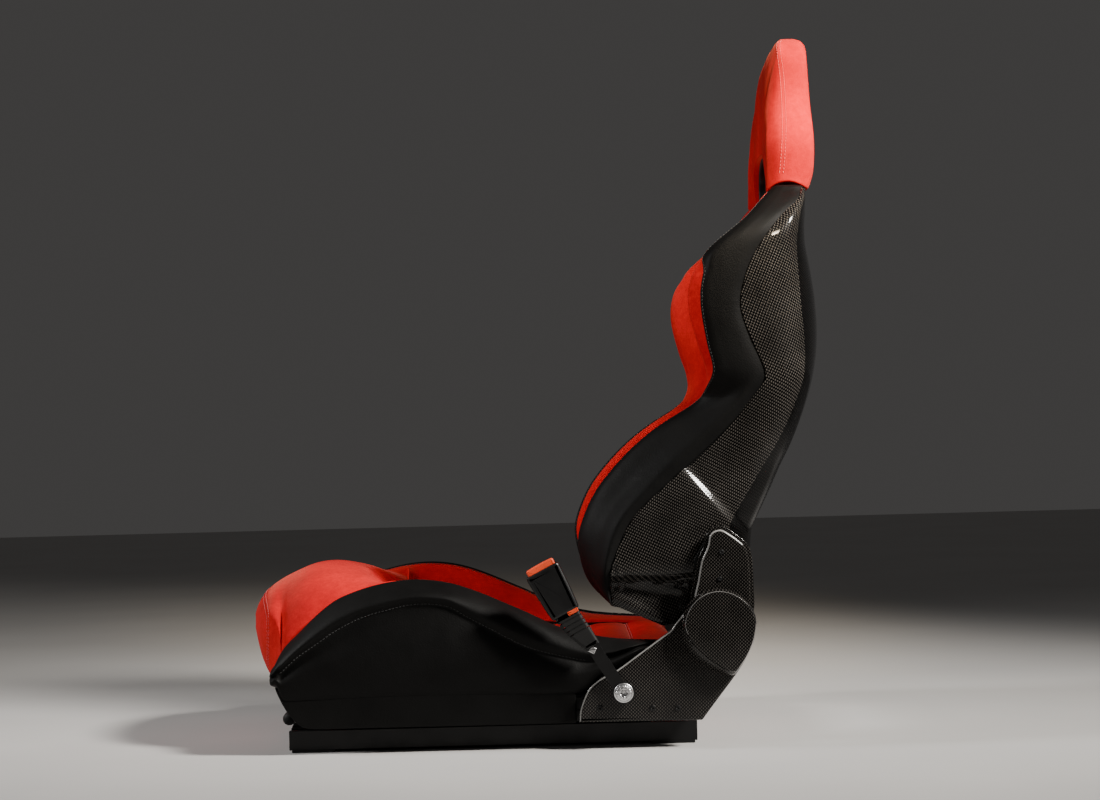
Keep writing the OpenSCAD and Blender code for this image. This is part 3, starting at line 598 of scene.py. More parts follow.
def run_cloth():
    """Inflates every listed pad at once, as stuffed fabric between its seams."""
    for obj, pinned, cap in pads:
        obj.vertex_groups.new(name="sewn").add(pinned, 1.0, "REPLACE")
        m = obj.modifiers.new("cloth", "CLOTH")
        for key, value in FABRIC.items():
            setattr(m.settings, key, value)
        m.settings.effector_weights.gravity = 0.0
        m.collision_settings.use_collision = False
        m.point_cache.frame_start, m.point_cache.frame_end = 1, CLOTH_FRAMES
    for f in range(1, CLOTH_FRAMES + 1):
        scene.frame_set(f)
    graph = bpy.context.evaluated_depsgraph_get()
    swollen = [places(obj.evaluated_get(graph).data) for obj, pinned, cap in pads]
    for (obj, pinned, cap), end in zip(pads, swollen):
        rest = places(obj.data)
        move = end - rest
        length = np.linalg.norm(move, axis=1, keepdims=True) + 1e-12
        move *= cap * np.tanh(length / cap) / length
        obj.modifiers.clear()
        obj.vertex_groups.clear()
        obj.data.vertices.foreach_set("co", (rest + move).astype(np.float32).ravel())
        obj.data.update()
    scene.frame_set(1)


STITCH_STEP, STITCH_LENGTH, STITCH_RADIUS, STITCH_SIDES = 4.4, 3.3, 0.42, 6
# Each stitch's rings, as (place along it, width, height over the fabric)
STITCH_RINGS = ((-0.5, 0.35, -0.25), (-0.3, 1.0, 0.25), (0.3, 1.0, 0.25), (0.5, 0.35, -0.25))


def stitches(name, rows, obj, material, asides=(-2.4, 2.4)):
    """Rows of stitches beside seam lines on a piece, as one mesh that moves with it."""
    surface = BVHTree.FromObject(obj, bpy.context.evaluated_depsgraph_get())
    points, faces = [], []

    def nearest(at):
        place, normal, _, _ = surface.find_nearest(Vector(at * MM))
        return np.array(place) / MM, np.array(normal)

    for line in rows:
        p = along(line, lambda end: np.linspace(0, end, max(2, int(end / STITCH_STEP))))
        for aside in asides:
            for a, b in zip(p[:-1], p[1:]):
                way = (b - a) / (np.linalg.norm(b - a) + 1e-9)
                place, normal = nearest((a + b) / 2)
                across = np.cross(normal, way)
                across /= np.linalg.norm(across) + 1e-9
                centre, normal = nearest(place + across * aside)
                base = len(points)
                for part, width, height in STITCH_RINGS:
                    spot = centre + way * STITCH_LENGTH * part + normal * height
                    points += [spot + STITCH_RADIUS * width * (across * math.cos(t) + normal * math.sin(t))
                               for t in turns(STITCH_SIDES)]
                faces += [tuple(base + i for i in f) for f in skin(len(STITCH_RINGS), STITCH_SIDES)]
                faces.append(tuple(range(base + STITCH_SIDES - 1, base - 1, -1)))
                faces.append(tuple(range(len(points) - STITCH_SIDES, len(points))))
    return new_object(name, points, faces, [material])


# ---- cushion ----

BOLSTER_STEPS = [4, 5, 5, 3, 4, 4, 4, 7, 3, 10]
BOLSTER_AT = starts(BOLSTER_STEPS)
# The carbon cover's upper edge, which the bolster's hem stays above, as (y, z)
HEM_OVER_COVER = [(100, 60), (113, 64.5), (120, 77.5), (130, 86.5), (142, 93.5), (156, 100.5), (182.5, 118),
                  (209, 122)]


def bolster_section(y):
    """Section of a cushion bolster across the seat, from its inner foot round to the hem."""
    front, rear = 1 - smooth(-135, -105, y), smooth(176, 204, y)
    inner = front * (curve(FRONT_WIDTH, y) + 1.0) + (1 - front) * (MIDDLE_HALF + 1.0)
    ridge, crease, hem = curve(RIDGE, y), curve(CREASE, y), max(67, curve(HEM, y))
    top = front * (ridge - 5) + (1 - front) * min(curve(MIDDLE, y) + 4, ridge - 6)
    outer = mid(256, 221, rear)
    cover = np.interp(y, *np.transpose(HEM_OVER_COVER))
    low = max(hem, mid(crease, ridge, -0.2)) if y < -262 else min(max(hem, cover), ridge - 9)
    crease = max(crease, mid(low, ridge, 0.4))
    seam = max(RIDGE_X - 10, inner + 1)
    crest = RIDGE_X - 4 * rear
    ring = [(inner, hem), (inner, top), (mid(inner, seam, 0.55), mid(top, ridge, 0.62)), (seam, ridge - 1.8),
            (crest, ridge), (mid(crest, outer, 0.45), mid(ridge, crease, 0.2)),
            (outer - 3, mid(ridge, crease, 0.62)), (outer - 9, crease),
            (outer - 0.5, mid(crease, low, 0.42)), (outer - 3, low)]
    return [(x, y, z) for x, z in ring]


def make_cushion_bolster():
    ys = np.concatenate([np.arange(-270, -236, 5), np.arange(-236, 88, 8), np.arange(88, 108, 4),
                         np.arange(108, 232, 9)])
    rings = [chain(bolster_section(y), BOLSTER_STEPS, (0, 1, 9)) for y in ys]
    rings = capped(rings, ((0, -1, -0.3), 5), ((0, 1, 0), 3))
    return pad("cushion_bolster", rings, [*BOLSTER_AT[[0, 1, 3, 7]], *range(BOLSTER_AT[9], BOLSTER_AT[10])], 6.5,
               (LEATHER, SUEDE), range(BOLSTER_AT[1], BOLSTER_AT[3]))


THIGH_STEPS = [4, 3, 6, 5, 4, 4, 4, 4, 5, 6, 3, 4]
THIGH_AT = starts(THIGH_STEPS)


def thigh_section(y):
    """Section of the front thigh cushion across the seat, from the middle of its underside."""
    w, crown, chin = curve(FRONT_WIDTH, y) - 1, curve(CROWN, y), curve(CHIN, y)
    front = 1 - smooth(-300, -262, y)
    edge = front * mid(chin, crown, 0.72) + (1 - front) * max(curve(RIDGE, y) - 3, 100)
    side = [(w * 0.86, chin), (w, mid(chin, edge, 0.35)), (w, edge), (w * 0.84, mid(edge, crown, 0.52)),
            (w * 0.48, mid(edge, crown, 0.9))]
    ring = [(0, chin)] + side + [(0, crown)] + [(-x, z) for x, z in side[::-1]]
    bend = 0.0006 * min(max((-262 - y) / 28, 0), 1)
    return [(x, y + 3.5 * front + bend * x * x, z) for x, z in ring]


def make_thigh_pad():
    ys = np.concatenate([[-314.5, -313, -310.5, -307, -302.5, -297, -290], np.arange(-282, -120, 8), [-119.5]])
    rings = [chain(thigh_section(y), THIGH_STEPS) for y in ys]
    rings = capped(rings, ((0, -1, 0), 2.5), ((0, 1, 0), 2))
    return pad("thigh_pad", rings, [*THIGH_AT[[3, 9]], *range(THIGH_AT[1]), *range(THIGH_AT[11], THIGH_AT[12])], 7)


CUSHION_CHANNELS = [-72, -22, 28, 78, 128, 178]
CHANNEL_HALF, CHANNEL_DEEP, CHANNEL_DEEP_SIDE = 3.0, 3.4, 1.0


def panel_rows(low, high, channels, step):
    """Even rows between two ends, with a row on every channel and one close beside it on each side."""
    marks = sorted([low, high] + [c + d for c in channels for d in (-3.5, 0, 3.5)])
    out = []
    for a, b in zip(marks[:-1], marks[1:]):
        n = max(1, round((b - a) / step))
        out += [a + (b - a) * i / n for i in range(n)]
    return out + [high]


PANEL_STEPS = [1, 3, 6, 9, 9, 6, 3, 1, 8]
PANEL_AT = starts(PANEL_STEPS)


def panel_section(half, depth, crown):
    """Section of a flat sewn panel: across as (x, height above its seam line)."""
    right = [(half, -depth), (half, -7), (half - 3, -1.5), (half * 0.72, crown * 0.75)]
    return right + [(0, crown)] + [(-x, h) for x, h in right[::-1]]


def panel(name, half, low, high, channels, depth, towards, crown):
    """A panel with sewn channels. depth(t) is how deep it is, and towards turns (x, height, t) into a point."""
    rings, channel_rows = [], []
    for t in panel_rows(low, high, channels, 8):
        near = min(abs(t - c) for c in channels)
        groove = math.exp(-(near / CHANNEL_HALF) ** 2)
        ring = chain(panel_section(half, depth(t), crown), PANEL_STEPS, (0, 1, 7, 8))
        drop = np.where(np.abs(ring[:, 0]) < half - 2, CHANNEL_DEEP, CHANNEL_DEEP_SIDE)
        ring[:, 1] -= groove * drop * (ring[:, 1] > -6)
        if near < 0.01:
            channel_rows.append(len(rings) + 3)
        rings.append(np.array([towards(x, h, t) for x, h in ring]))
    step = rings[1].mean(axis=0) - rings[0].mean(axis=0)
    step /= np.linalg.norm(step)
    rings = capped(rings, (-step, 2), (step, 2), (3, 3))
    sewn = [0, 1, 4, PANEL_AT[6] + 3, PANEL_AT[7], *range(PANEL_AT[8], PANEL_AT[9])]
    obj = pad(name, rings, sewn, 5, tacked=(channel_rows, range(PANEL_AT[9])))
    obj["channels"] = channel_rows
    return obj


def make_cushion_middle():
    return panel("cushion_middle", MIDDLE_HALF - 1, -117, 227, CUSHION_CHANNELS, lambda y: curve(MIDDLE, y) - 67,
                 lambda x, h, y: (x, y, curve(MIDDLE, y) + h), 4.0)


def make_back_panel(name, low, high, channels):
    return panel(name, BACK_HALF - 1, low, high, channels,
                 lambda z: float(shell_y(z, BACK_HALF, 8) - curve(BACK_MIDDLE, z)),
                 lambda x, h, z: (x, curve(BACK_MIDDLE, z) - h, z), 6.0)


# ---- backrest bolsters ----

BACK_STEPS = [5, 4, 4, 4, 4, 4, 5, 5, 5, 3, 4, 9]
BACK_AT = starts(BACK_STEPS)
WING_START = 433


def back_section(z):
    """Section of a back bolster: from the pad beside it, over the rim, and round inside the shell."""
    w, edge, rim = curve(SHELL_WIDTH, z), curve(SHELL_EDGE, z), curve(RIM, z)
    start = max(curve(BACK_MIDDLE, z), rim + 4)
    # The seam tucks in at the foot, and moves inside the wing at its top
    foot, inside = 1 - smooth(206, 240, z), smooth(584, 606, z)
    seam = mid(curve(WING_SEAM, max(z, 434)), rim + 1, inside)
    low = [(BACK_HALF + 1, start), (140 - 8 * foot, mid(start, rim, 0.45 - 0.15 * foot)),
           (157 - 12 * foot, mid(start, rim, 0.74 - 0.24 * foot)), (169 - 15 * foot, rim + 7 + 19 * foot),
           (178 - 16 * foot, rim + 2.6 + 15 * foot), (188 - 4 * foot, rim), (203, rim + 6),
           (222, mid(rim, edge, 0.42)), (w + 1.5, mid(rim, edge, 0.74)), (w - 1.5, edge + 0.5)]
    reach = w - 17 - BACK_HALF
    high = [(BACK_HALF + 1, start), (BACK_HALF + reach * 0.4, mid(start, rim, 0.36)),
            (BACK_HALF + reach * 0.71, mid(start, rim, 0.74 - 0.1 * inside)),
            (w - 17 - 18 * inside, rim + 0.5 + 6 * inside), (w - 2.5 - 21 * inside, seam + 0.5 + inside),
            (w + 1.2 - 3 * inside, mid(seam, edge, 0.14)), (w + 2.2, mid(seam, edge, 0.34)),
            (w + 2.4, mid(seam, edge, 0.56)), (w + 1.5, mid(seam, edge, 0.8)), (w - 1.5, edge + 0.5)]
    wing = smooth(402, 462, z)
    ring = [(xa * (1 - wing) + xb * wing, ya * (1 - wing) + yb * wing) for (xa, ya), (xb, yb) in zip(low, high)]
    wall = min(float(shell_y(z, (w - 8) * 0.94, 8)), float(shell_y(z, BACK_HALF, 8)))
    ring += [(w - 11, edge + 6), (BACK_HALF + 4, max(wall - 2, start + 6))]
    return [(x, y, z) for x, y in ring]


def make_back_bolster():
    zs = [174, 178, 184, 191, *np.arange(199, 429, 8.5), 428.5, WING_START, 437.5, *np.arange(446, 628, 8.5),
          632, 640, 648, 656, 664, 672, 680, 687, 692]
    rings = [chain(back_section(z), BACK_STEPS, (0, 9, 10)) for z in zs]
    rings = capped(rings, ((0, 0, -1), 5), ((0, 0.25, 1), 4))
    seam = BACK_AT[4]
    return pad("back_bolster", rings, [0, seam, *range(BACK_AT[9], BACK_AT[12])], 6, (LEATHER, SUEDE), range(seam),
               ([4 + zs.index(WING_START)], range(seam + 1)))


SHOULDER_STEPS = [6, 6, 5, 4, 3, 6, 6, 5]
SHOULDER_AT = starts(SHOULDER_STEPS)
# Harness opening: half width, middle height, half height, and how square its corners are
HARNESS_HALF, HARNESS_Z, HARNESS_TALL, HARNESS_POWER = 82, 697, 48, 0.6
HARNESS_CUT_Y = (330, 470)


def shoulder_section(z):
    """Section of a shoulder pad, from the harness opening out to the shell's edge and back inside it."""
    level, rise = min(z, SHELL_TOP), max(z - 686, 0)
    w, edge = curve(SHELL_WIDTH, level) - 1, curve(SHELL_EDGE, level) - 1
    front, rear = curve(SHOULDER_FRONT, level), curve(SHELL_REAR, level) - 7
    s = min(abs(level - HARNESS_Z) / (HARNESS_TALL + 4), 1) ** (1 / HARNESS_POWER)
    inner = (HARNESS_HALF + 4) * math.sqrt(1 - s * s) ** HARNESS_POWER
    ring = [(inner, 366 + rise), (w * 0.6, front + 14 + rise), (w * 0.86, front + 6 + rise * 1.6),
            (w * 0.96, (front + edge) * 0.5 + 2 + rise), (w - 4, edge - rise * 0.3), (w - 12, edge + 1),
            (w * 0.78, max(rear - 15, edge)), (inner, rear - 3)]
    return [(x, y, z) for x, y in ring]


def make_shoulder_pad():
    rings = [chain(shoulder_section(z), SHOULDER_STEPS, (0, 4, 5, 7))
             for z in (651, 655, 660, 666, 672, 678, 684, 688, 691, 693)]
    rings = capped(rings, ((0, -0.3, -1), 3), ((0, 0, 1), 5), (3, 4))
    return pad("shoulder_pad", rings, [0, SHOULDER_AT[4], *range(SHOULDER_AT[5], SHOULDER_AT[8])], 5, (LEATHER,))


# ---- headrest ----

HEAD_STEPS = [7, 6, 4, 4, 7, 4, 4, 2, 8]
HEAD_MIRROR = HEAD_STEPS + HEAD_STEPS[::-1]
HEAD_AT = starts(HEAD_MIRROR)
PANEL_MARGIN, PANEL_RECESS = 17, 7


def arch(y):
    """Height that the headrest's lower edge rises above its corners, over the shoulder."""
    return 9.0 * np.maximum(0, 1 - ((y - 388) / 24) ** 2)


def head_section(z):
    """Section of the headrest round its height, with a recess for the panel in its rear."""
    w, front, rear, seam = [curve(line, z) for line in (HEAD_WIDTH, HEAD_FRONT, HEAD_REAR, HEAD_SEAM)]
    p = w - PANEL_MARGIN
    floor = rear - PANEL_RECESS * (1 - smooth(866, 880, z)) - 0.5
    hollow = 1 - smooth(780, 862, z)
    half = [(0, front + 1 + 5 * hollow), (p * 0.62, front + 4.5 * hollow), (w - 22, front + 1.2 - 2.5 * hollow),
            (w - 7, mid(front, seam, 0.4)), (w, seam), (w + 0.5, rear - 7), (w - 7, rear - 0.8), (p + 1, rear),
            (p, floor), (0, floor)]
    return [(x, y, z) for x, y in half + [(-x, y) for x, y in half[1:-1][::-1]]]


def make_headrest():
    zs = [690, 693, 698, 704, 712, 721, *np.arange(730, 862, 8), 862, 868, 874, 880, 885, 889, 892.5, 895.5, 898]
    rings = [chain(head_section(z), HEAD_MIRROR, (7, 8, 10, 11)) for z in zs]
    for ring in rings[:8]:
        side = smooth(0.86, 0.98, np.abs(ring[:, 0]) / 172)
        ring[:, 2] += arch(ring[:, 1]) * side * (1 - smooth(690, 725, ring[:, 2]))
    rings = capped(rings, ((0, 0, -1), 1.5), ((0, 0, 1), 1.0), (3, 3))
    sewn = [*range(HEAD_AT[7], HEAD_AT[11] + 1), *HEAD_AT[[4, 14, 6, 12]]]
    return pad("headrest", rings, sewn, 4.5, tacked=(range(6), range(HEAD_AT[18])))


def harness_outline(extra):
    """The harness opening's outline in (x, z), made larger by extra."""
    out = []
    for a in turns(96):
        c, s = [math.copysign(abs(v) ** HARNESS_POWER, v) for v in (math.cos(a), math.sin(a))]
        out.append(((HARNESS_HALF + extra) * c, HARNESS_Z + (HARNESS_TALL + extra) * s))
    return out


def harness_cutter(extra):
    return loft("cutter", [[(x, y, z) for x, z in harness_outline(extra)] for y in HARNESS_CUT_Y], [SUEDE])


def make_bezel():
    """The moulded ring that lines the harness opening, with rolled lips."""
    profile = [(0.4, 410), (0.2, 402), (0.2, 382), (0.6, 376.5), (2.2, 374.2), (4.6, 374.8), (5.2, 377.5),
               (3.4, 380), (3.0, 384), (3.0, 402), (3.2, 411), (5.2, 415.2), (8.4, 415.6), (9.4, 417),
               (7.6, 418.6), (3.0, 418.4), (1.0, 415)]
    loop = [(harness_outline(extra), y) for extra, y in chain(profile, [2] * len(profile))]
    rings = [[(outline[k][0], y, outline[k][1]) for outline, y in loop] for k in range(len(loop[0][0]))]
    return turned_out(loft("harness_bezel_ring", rings + rings[:1], [PLASTIC], ends=False), weld=True)


def make_head_panel():
    """The carbon panel in the rear of the headrest, with rounded edges."""
    rows, cols, points = 40, 44, []
    for z in np.linspace(691, 856, rows):
        w = curve(HEAD_WIDTH, z) - PANEL_MARGIN - 1.5
        for u in np.linspace(-1, 1, cols + 1):
            edge = max(abs(u) ** 14, smooth(846, 856, z))
            points.append((u * w, curve(HEAD_REAR, z) - 3.2 - 2.4 * edge + 1.2 * (1 - u * u), z))
    faces = skin(rows, cols + 1, closed=False)
    uvs = [(points[i][0], points[i][2]) for f in faces for i in f]
    obj = new_object("headrest_back_panel", points, faces, [CARBON_COVER], None, uvs)
    return cut(thickened(obj, 3), harness_cutter(5.5))


# ---- carbon back shell ----

LEDGE_FROM, LEDGE_TO = np.array([236.0, 342.0]), np.array([330.0, 246.0])
POCKET = np.array([(166, 212), (245, 199), (236, 166), (168, 191)], float)


def signed_inside(polygon, y, z):
    """Distance inside a convex outline, negative outside."""
    p = anticlockwise(polygon)
    best = np.full(np.shape(y), 1e9)
    for a, b in zip(p, np.roll(p, -1, axis=0)):
        d = (b - a) / np.linalg.norm(b - a)
        best = np.minimum(best, (y - a[0]) * -d[1] + (z - a[1]) * d[0])
    return best


def gap_to_line(y, z, a, b):
    """Distance from a line piece between a and b."""
    a, b = np.array(a, float), np.array(b, float)
    d = b - a
    t = np.clip(((y - a[0]) * d[0] + (z - a[1]) * d[1]) / (d @ d), 0, 1)
    return np.hypot(y - a[0] - t * d[0], z - a[1] - t * d[1])


def shell_relief(y, z):
    """How far the shell's side stands out from its smooth form: the ledge, the pocket and its ribs."""
    way = (LEDGE_TO - LEDGE_FROM) / np.linalg.norm(LEDGE_TO - LEDGE_FROM)
    rel_y, rel_z = y - LEDGE_FROM[0], z - LEDGE_FROM[1]
    s, t = rel_y * way[0] + rel_z * way[1], rel_z * way[0] - rel_y * way[1]
    ledge = smooth(-1.0, 15.0 - 8.0 * smooth(-10, 100, s), t) * (1 - smooth(40, 150, t)) * smooth(-30, -8, s)
    rib = gap_to_line(y, z, (172, 203), (240, 190))
    roll = gap_to_line(y, z, (158, 184), (214, 154))
    lug = gap_to_line(y, z, (155, 224), (158, 196)) - 4.5
    return (-(6.5 + 2.0 * smooth(-20, 110, s)) * ledge - 2.6 * smooth(-1.0, 3.0, signed_inside(POCKET, y, z))
            + 1.8 * np.exp(-(rib / 2.6) ** 2) + 2.4 * np.exp(-(roll / 6.0) ** 4) + 1.8 * np.exp(-(lug / 1.8) ** 2))


# The shell's lower edge, as (y, z), and the height over which it blends into level rows
SHELL_BOTTOM = [(152, 173), (160, 171), (214, 147), (230, 150), (330, 150)]
BOTTOM_BLEND = 40


def shell_row(v, side_cols, back_cols):
    """One row of the shell from its left front edge round the rear to its right one, v up from 0 to 1."""
    level = SHELL_LOW + (SHELL_TOP - SHELL_LOW) * v
    w, n, edge, rear = [curve(line, level) for line in (SHELL_WIDTH, SHELL_SQUARE, SHELL_EDGE, SHELL_REAR)]
    a = np.linspace(0, QUARTER, 400)
    section = np.column_stack([w * np.cos(a) ** (2 / n), edge + (rear - edge) * np.sin(a) ** (2 / n)])
    corner = (rear - edge) * 0.97
    half = along(section, lambda end: np.concatenate([np.linspace(0, corner, side_cols, endpoint=False),
                                                      np.linspace(corner, end, back_cols // 2 + 1)]))
    row = np.concatenate([half, half[-2::-1] * (-1, 1)])
    lowest = np.interp(row[:, 1], *np.transpose(SHELL_BOTTOM))
    blend = np.clip((level - SHELL_LOW) / BOTTOM_BLEND, 0, 1)
    return np.column_stack([row, level + (lowest - SHELL_LOW) * (1 - blend)])


def make_shell():
    rows, side_cols, back_cols = 186, 82, 52
    base = np.array([shell_row(k / (rows - 1), side_cols, back_cols) for k in range(rows)])
    cols = base.shape[1]
    x, y, z = np.moveaxis(base, 2, 0)
    sideways = smooth(0.86, 0.97, np.abs(x) / curve(SHELL_WIDTH, np.clip(z, SHELL_LOW, SHELL_TOP)))
    x += np.sign(x) * shell_relief(y, z) * sideways
    y += 1.6 * smooth(684, 690, z) * smooth(0.5, 1.0, (y - 300) / 120)
    u = np.zeros((rows, cols))
    u[:, 1:] = np.cumsum(np.hypot(np.diff(x), np.diff(y)), axis=1)
    u -= u[:, [cols // 2]]
    v = starts(np.linalg.norm(np.diff(base[:, cols // 2], axis=0), axis=1))
    weave = np.stack([u, np.repeat(v[:, None], cols, axis=1)], axis=2).reshape(-1, 2)
    faces = skin(rows, cols, closed=False)
    # A band of painted shade runs up each rear corner, where the shell turns away from the light
    from_edge = [min(c, cols - 2 - c) for c in range(cols - 1)]
    paint = [int(side_cols * 0.8 <= c < side_cols + 7) for c in from_edge] * (rows - 1)
    obj = new_object("back_shell_carbon", base.reshape(-1, 3), faces, [CARBON, CARBON_SHADE_BAND], paint,
                     weave[[i for f in faces for i in f]])
    rearward = sum(f.normal.y for f in turned_out(obj).data.polygons if abs(f.center.x) < 0.01)
    if rearward < 0:
        obj.data.flip_normals()
    cut(thickened(obj, 4.2), harness_cutter(5.0))
    obj.data.set_sharp_from_angle(angle=math.radians(48))
    return obj


# ---- covers and recliner ----

COVER_EDGE = [(107, 34), (108, 47), (113, 62), (120, 75), (130, 84), (142, 91), (156, 98), (182.5, 116.5),
    (209, 135), (222, 144), (232, 156)]
COVER_HEEL = [(326, 140), (324, 129), (316, 111), (303, 91), (290, 74), (275, 55), (261, 37), (258, 33)]
BOSS_TOP = [(235.4, 153), (241, 170.5), (252, 183.5), (266, 191.5), (281, 194), (297, 191), (311, 183),
    (322, 170), (327, 154)]
BOSS_BASE = BOSS_TOP + [(326, 140), (322.5, 126), (315, 110), (306, 97), (298, 87), (290, 85.5), (277, 91),
                        (261, 101), (247, 113.5), (238.5, 128), (234.8, 141)]
BOSS_FACE = [(239.5, 153), (245, 169), (255, 181), (267.5, 188.5), (281, 190.8), (296, 188), (309, 180.5),
    (319.5, 168.5), (324.2, 154), (323.6, 140), (320, 127), (313, 112), (304.5, 99.5), (300, 94), (292, 95),
    (280, 102), (266, 112.5), (253.5, 124), (245.5, 135), (241, 144)]


def aligned(outline, count):
    """A smoothed outline of count points, anticlockwise, starting straight in front of its middle."""
    p = anticlockwise(rounded(outline, 6, (), count * 4))
    centre = p.mean(axis=0)
    start = int(np.argmin(np.abs(np.arctan2(p[:, 1] - centre[1], -(p[:, 0] - centre[0])))))
    return evened(np.roll(p, -start, axis=0), count)


# How far out each carbon part stands, as its inner and outer face in X
COVER_X, COVER_FLANGE_X, ARM_FLANGE_X, ARM_CROWN_X = (262.2, 268.2), (242, 266), (251.6, 256.5), (254.5, 262.0)
BOSS_FOOT_X, BOSS_STEP_X, BOSS_RIM_X = 263.5, 270.0, 282.4
BOSS_CLEAR_RADIUS = 45.6


def make_boss(name, side):
    """The raised boss over the recline axis: a slanted side wall round a domed face."""
    count = 96
    base, face = aligned(BOSS_BASE, count), aligned(BOSS_FACE, count)
    centre = face.mean(axis=0)
    rings = [(BOSS_FOOT_X, base), (268.4, base), (BOSS_STEP_X, mid(base, face, 0.06))]
    for k in range(1, 7):
        rings.append((BOSS_STEP_X + 12.4 * (k / 6) ** 0.9, mid(base, face, 0.12 + 0.78 * (k / 6) ** 1.4)))
    for a in np.linspace(0, QUARTER, 5)[1:]:
        rings.append((BOSS_RIM_X + 2.0 * math.sin(a), mid(base, face, 0.9 + 0.1 * (1 - math.cos(a)))))
    for inset in (0.97, 0.9, 0.7, 0.4, 0.1):
        rings.append((BOSS_RIM_X + 2.0 + 0.6 * (1 - inset**2), mid(centre, face, inset)))
    loops = [np.column_stack([np.full(count, x), p]) for x, p in rings]
    # A painted highlight on the face's rim, where it faces the light
    faces_light = outline_normals(face) @ LIGHT_TOWARDS > 0.1
    return stacked(name, loops, side, CARBON_COVER, PAINTED_HIGHLIGHT_RIM, (9, 10, 11), faces_light)


def make_lower_cover(name, side):
    """The carbon cover over the recliner's lower half: a plate, a flange at its front, and the boss."""
    arc = [(PIVOT[0] + BOSS_CLEAR_RADIUS * math.cos(a), PIVOT[1] + BOSS_CLEAR_RADIUS * math.sin(a))
           for a in np.linspace(math.radians(158), math.radians(10), 11)]
    outline = COVER_EDGE[:-1] + [(226, 150)] + arc + COVER_HEEL
    # Its rim carries the painted highlight where it faces the light
    body = plate("cover_body", rounded(outline, 5, (0, len(outline) - 1), 260), COVER_X, CARBON_COVER, 2.6, side,
                 rim=PAINTED_HIGHLIGHT_RIM)
    lip = COVER_EDGE[:6] + [(144.5, 88.5), (132.5, 81), (123, 73), (116, 61), (111.2, 47), (110.4, 34)]
    flange = plate("cover_flange", evened(lip, 60), COVER_FLANGE_X, CARBON_COVER, 0.8, side)
    return join(name, [body, flange, make_boss("cover_boss", side)])


ARM_OUTLINE = [(247, 178), (253, 205), (258, 229), (266, 247), (269, 260), (275, 267), (286, 270), (295, 267),
    (316, 251), (322, 242), (325, 227), (326, 190), (326, 168), (318, 140), (281, 124), (248, 140)]


def make_arm_cover(name, side):
    """The carbon cover over the recliner arm: a rounded plate on a thin stepped flange."""
    p = anticlockwise(rounded(ARM_OUTLINE, 5, (), 200))
    flange = plate("arm_flange", p, ARM_FLANGE_X, CARBON_COVER, 1.4, side)
    # Its rim carries the painted highlight where it faces the light
    crown = plate("arm_crown", p - outline_normals(p) * 4.2, ARM_CROWN_X, CARBON_COVER, 3.0, side, both=False,
                  rim=PAINTED_HIGHLIGHT_RIM)
    return join(name, [flange, crown])


def lathe(name, profile, centre, side, material, sides=48, flutes=0, deep=0.0):
    """A turned part about an axis along X: profile as (x, radius), with optional flutes round its edge."""
    rings = []
    for x, r in profile:
        radii = [(a, r * (1 - deep * (0.5 + 0.5 * math.cos(a * flutes)))) for a in turns(sides)]
        rings.append([(side * x, centre[0] + q * math.cos(a), centre[1] + q * math.sin(a)) for a, q in radii])
    return loft(name, rings, [material], angle=35)


def star(centre, x, r, depth, side, material):
    """A six-lobed drive recess, as a solid to cut out."""
    lobes = [(a, r * (1 + 0.16 * math.cos(6 * a))) for a in turns(60)]
    return loft("recess", [[(side * px, centre[0] + q * math.cos(a), centre[1] + q * math.sin(a)) for a, q in lobes]
                           for px in (x - depth, x + 1)], [material])


def make_bolt_head():
    """The buckle's anchor bolt: washer face, knurled rim, a six-lobed drive and ten dots round it."""
    x = 277.5
    body = lathe("bolt_body", [(229.5, 5.4), (x, 5.4), (x, 11.4), (x + 0.5, 12), (x + 2.2, 12), (x + 2.8, 11.5),
                               (x + 3.1, 10.6), (x + 3.3, 10)], ANCHOR, 1, STEEL_BRIGHT)
    cap = lathe("bolt_cap", [(x + 3.0, 10.3), (x + 6.6, 10.3), (x + 7.9, 9.6), (x + 8.6, 8.2), (x + 8.8, 6.0)],
                ANCHOR, 1, STEEL_BRIGHT, 120, flutes=20, deep=0.055)
    cut(cap, star(ANCHOR, x + 8.8, 4.2, 4.0, 1, STEEL_BRIGHT))
    dots = []
    for k in range(10):
        a = 2 * math.pi * (k + 0.5) / 10
        place = (ANCHOR[0] + 7.2 * math.cos(a), ANCHOR[1] + 7.2 * math.sin(a))
        dots.append(lathe("dot", [(x + 8.2, 0.95), (x + 8.9, 0.95), (x + 9.15, 0.55)], place, 1, STEEL_BRIGHT, 10))
    return join("buckle_bolt_head", [body, cap] + dots)


def make_screw_heads(name, points, x, r):
    """Countersunk screws on both sides of the seat, at these points in (y, z)."""
    parts = []
    for side in (1, -1):
        for p in points:
            head = lathe("head", [(x - 4, r * 0.45), (x - 0.2, r * 0.45), (x - 0.2, r * 0.94), (x + 0.3, r),
                                  (x + 0.8, r * 0.93), (x + 1.3, r * 0.6)], p, side, STEEL_BLACK, 28)
            parts.append(cut(head, star(p, x + 1.3, r * 0.38, 0.9, side, STEEL_BLACK)))
    return join(name, parts)


# ---- buckle ----

BUCKLE_TURN = Matrix.Translation(Vector((275.5, 94, 168))) @ Matrix.Rotation(math.radians(27.3), 4, "X")


def to_buckle(obj):
    """Moves a part from the buckle's own place to the seat, both in metres."""
    turn = BUCKLE_TURN.copy()
    turn.translation *= MM
    obj.data.transform(turn)
    return obj


def block(name, outline, half, edge, material):
    """A moulded block across the buckle, with a softly rounded edge on both faces."""
    return plate(name, outline, (-half, half), material, edge)


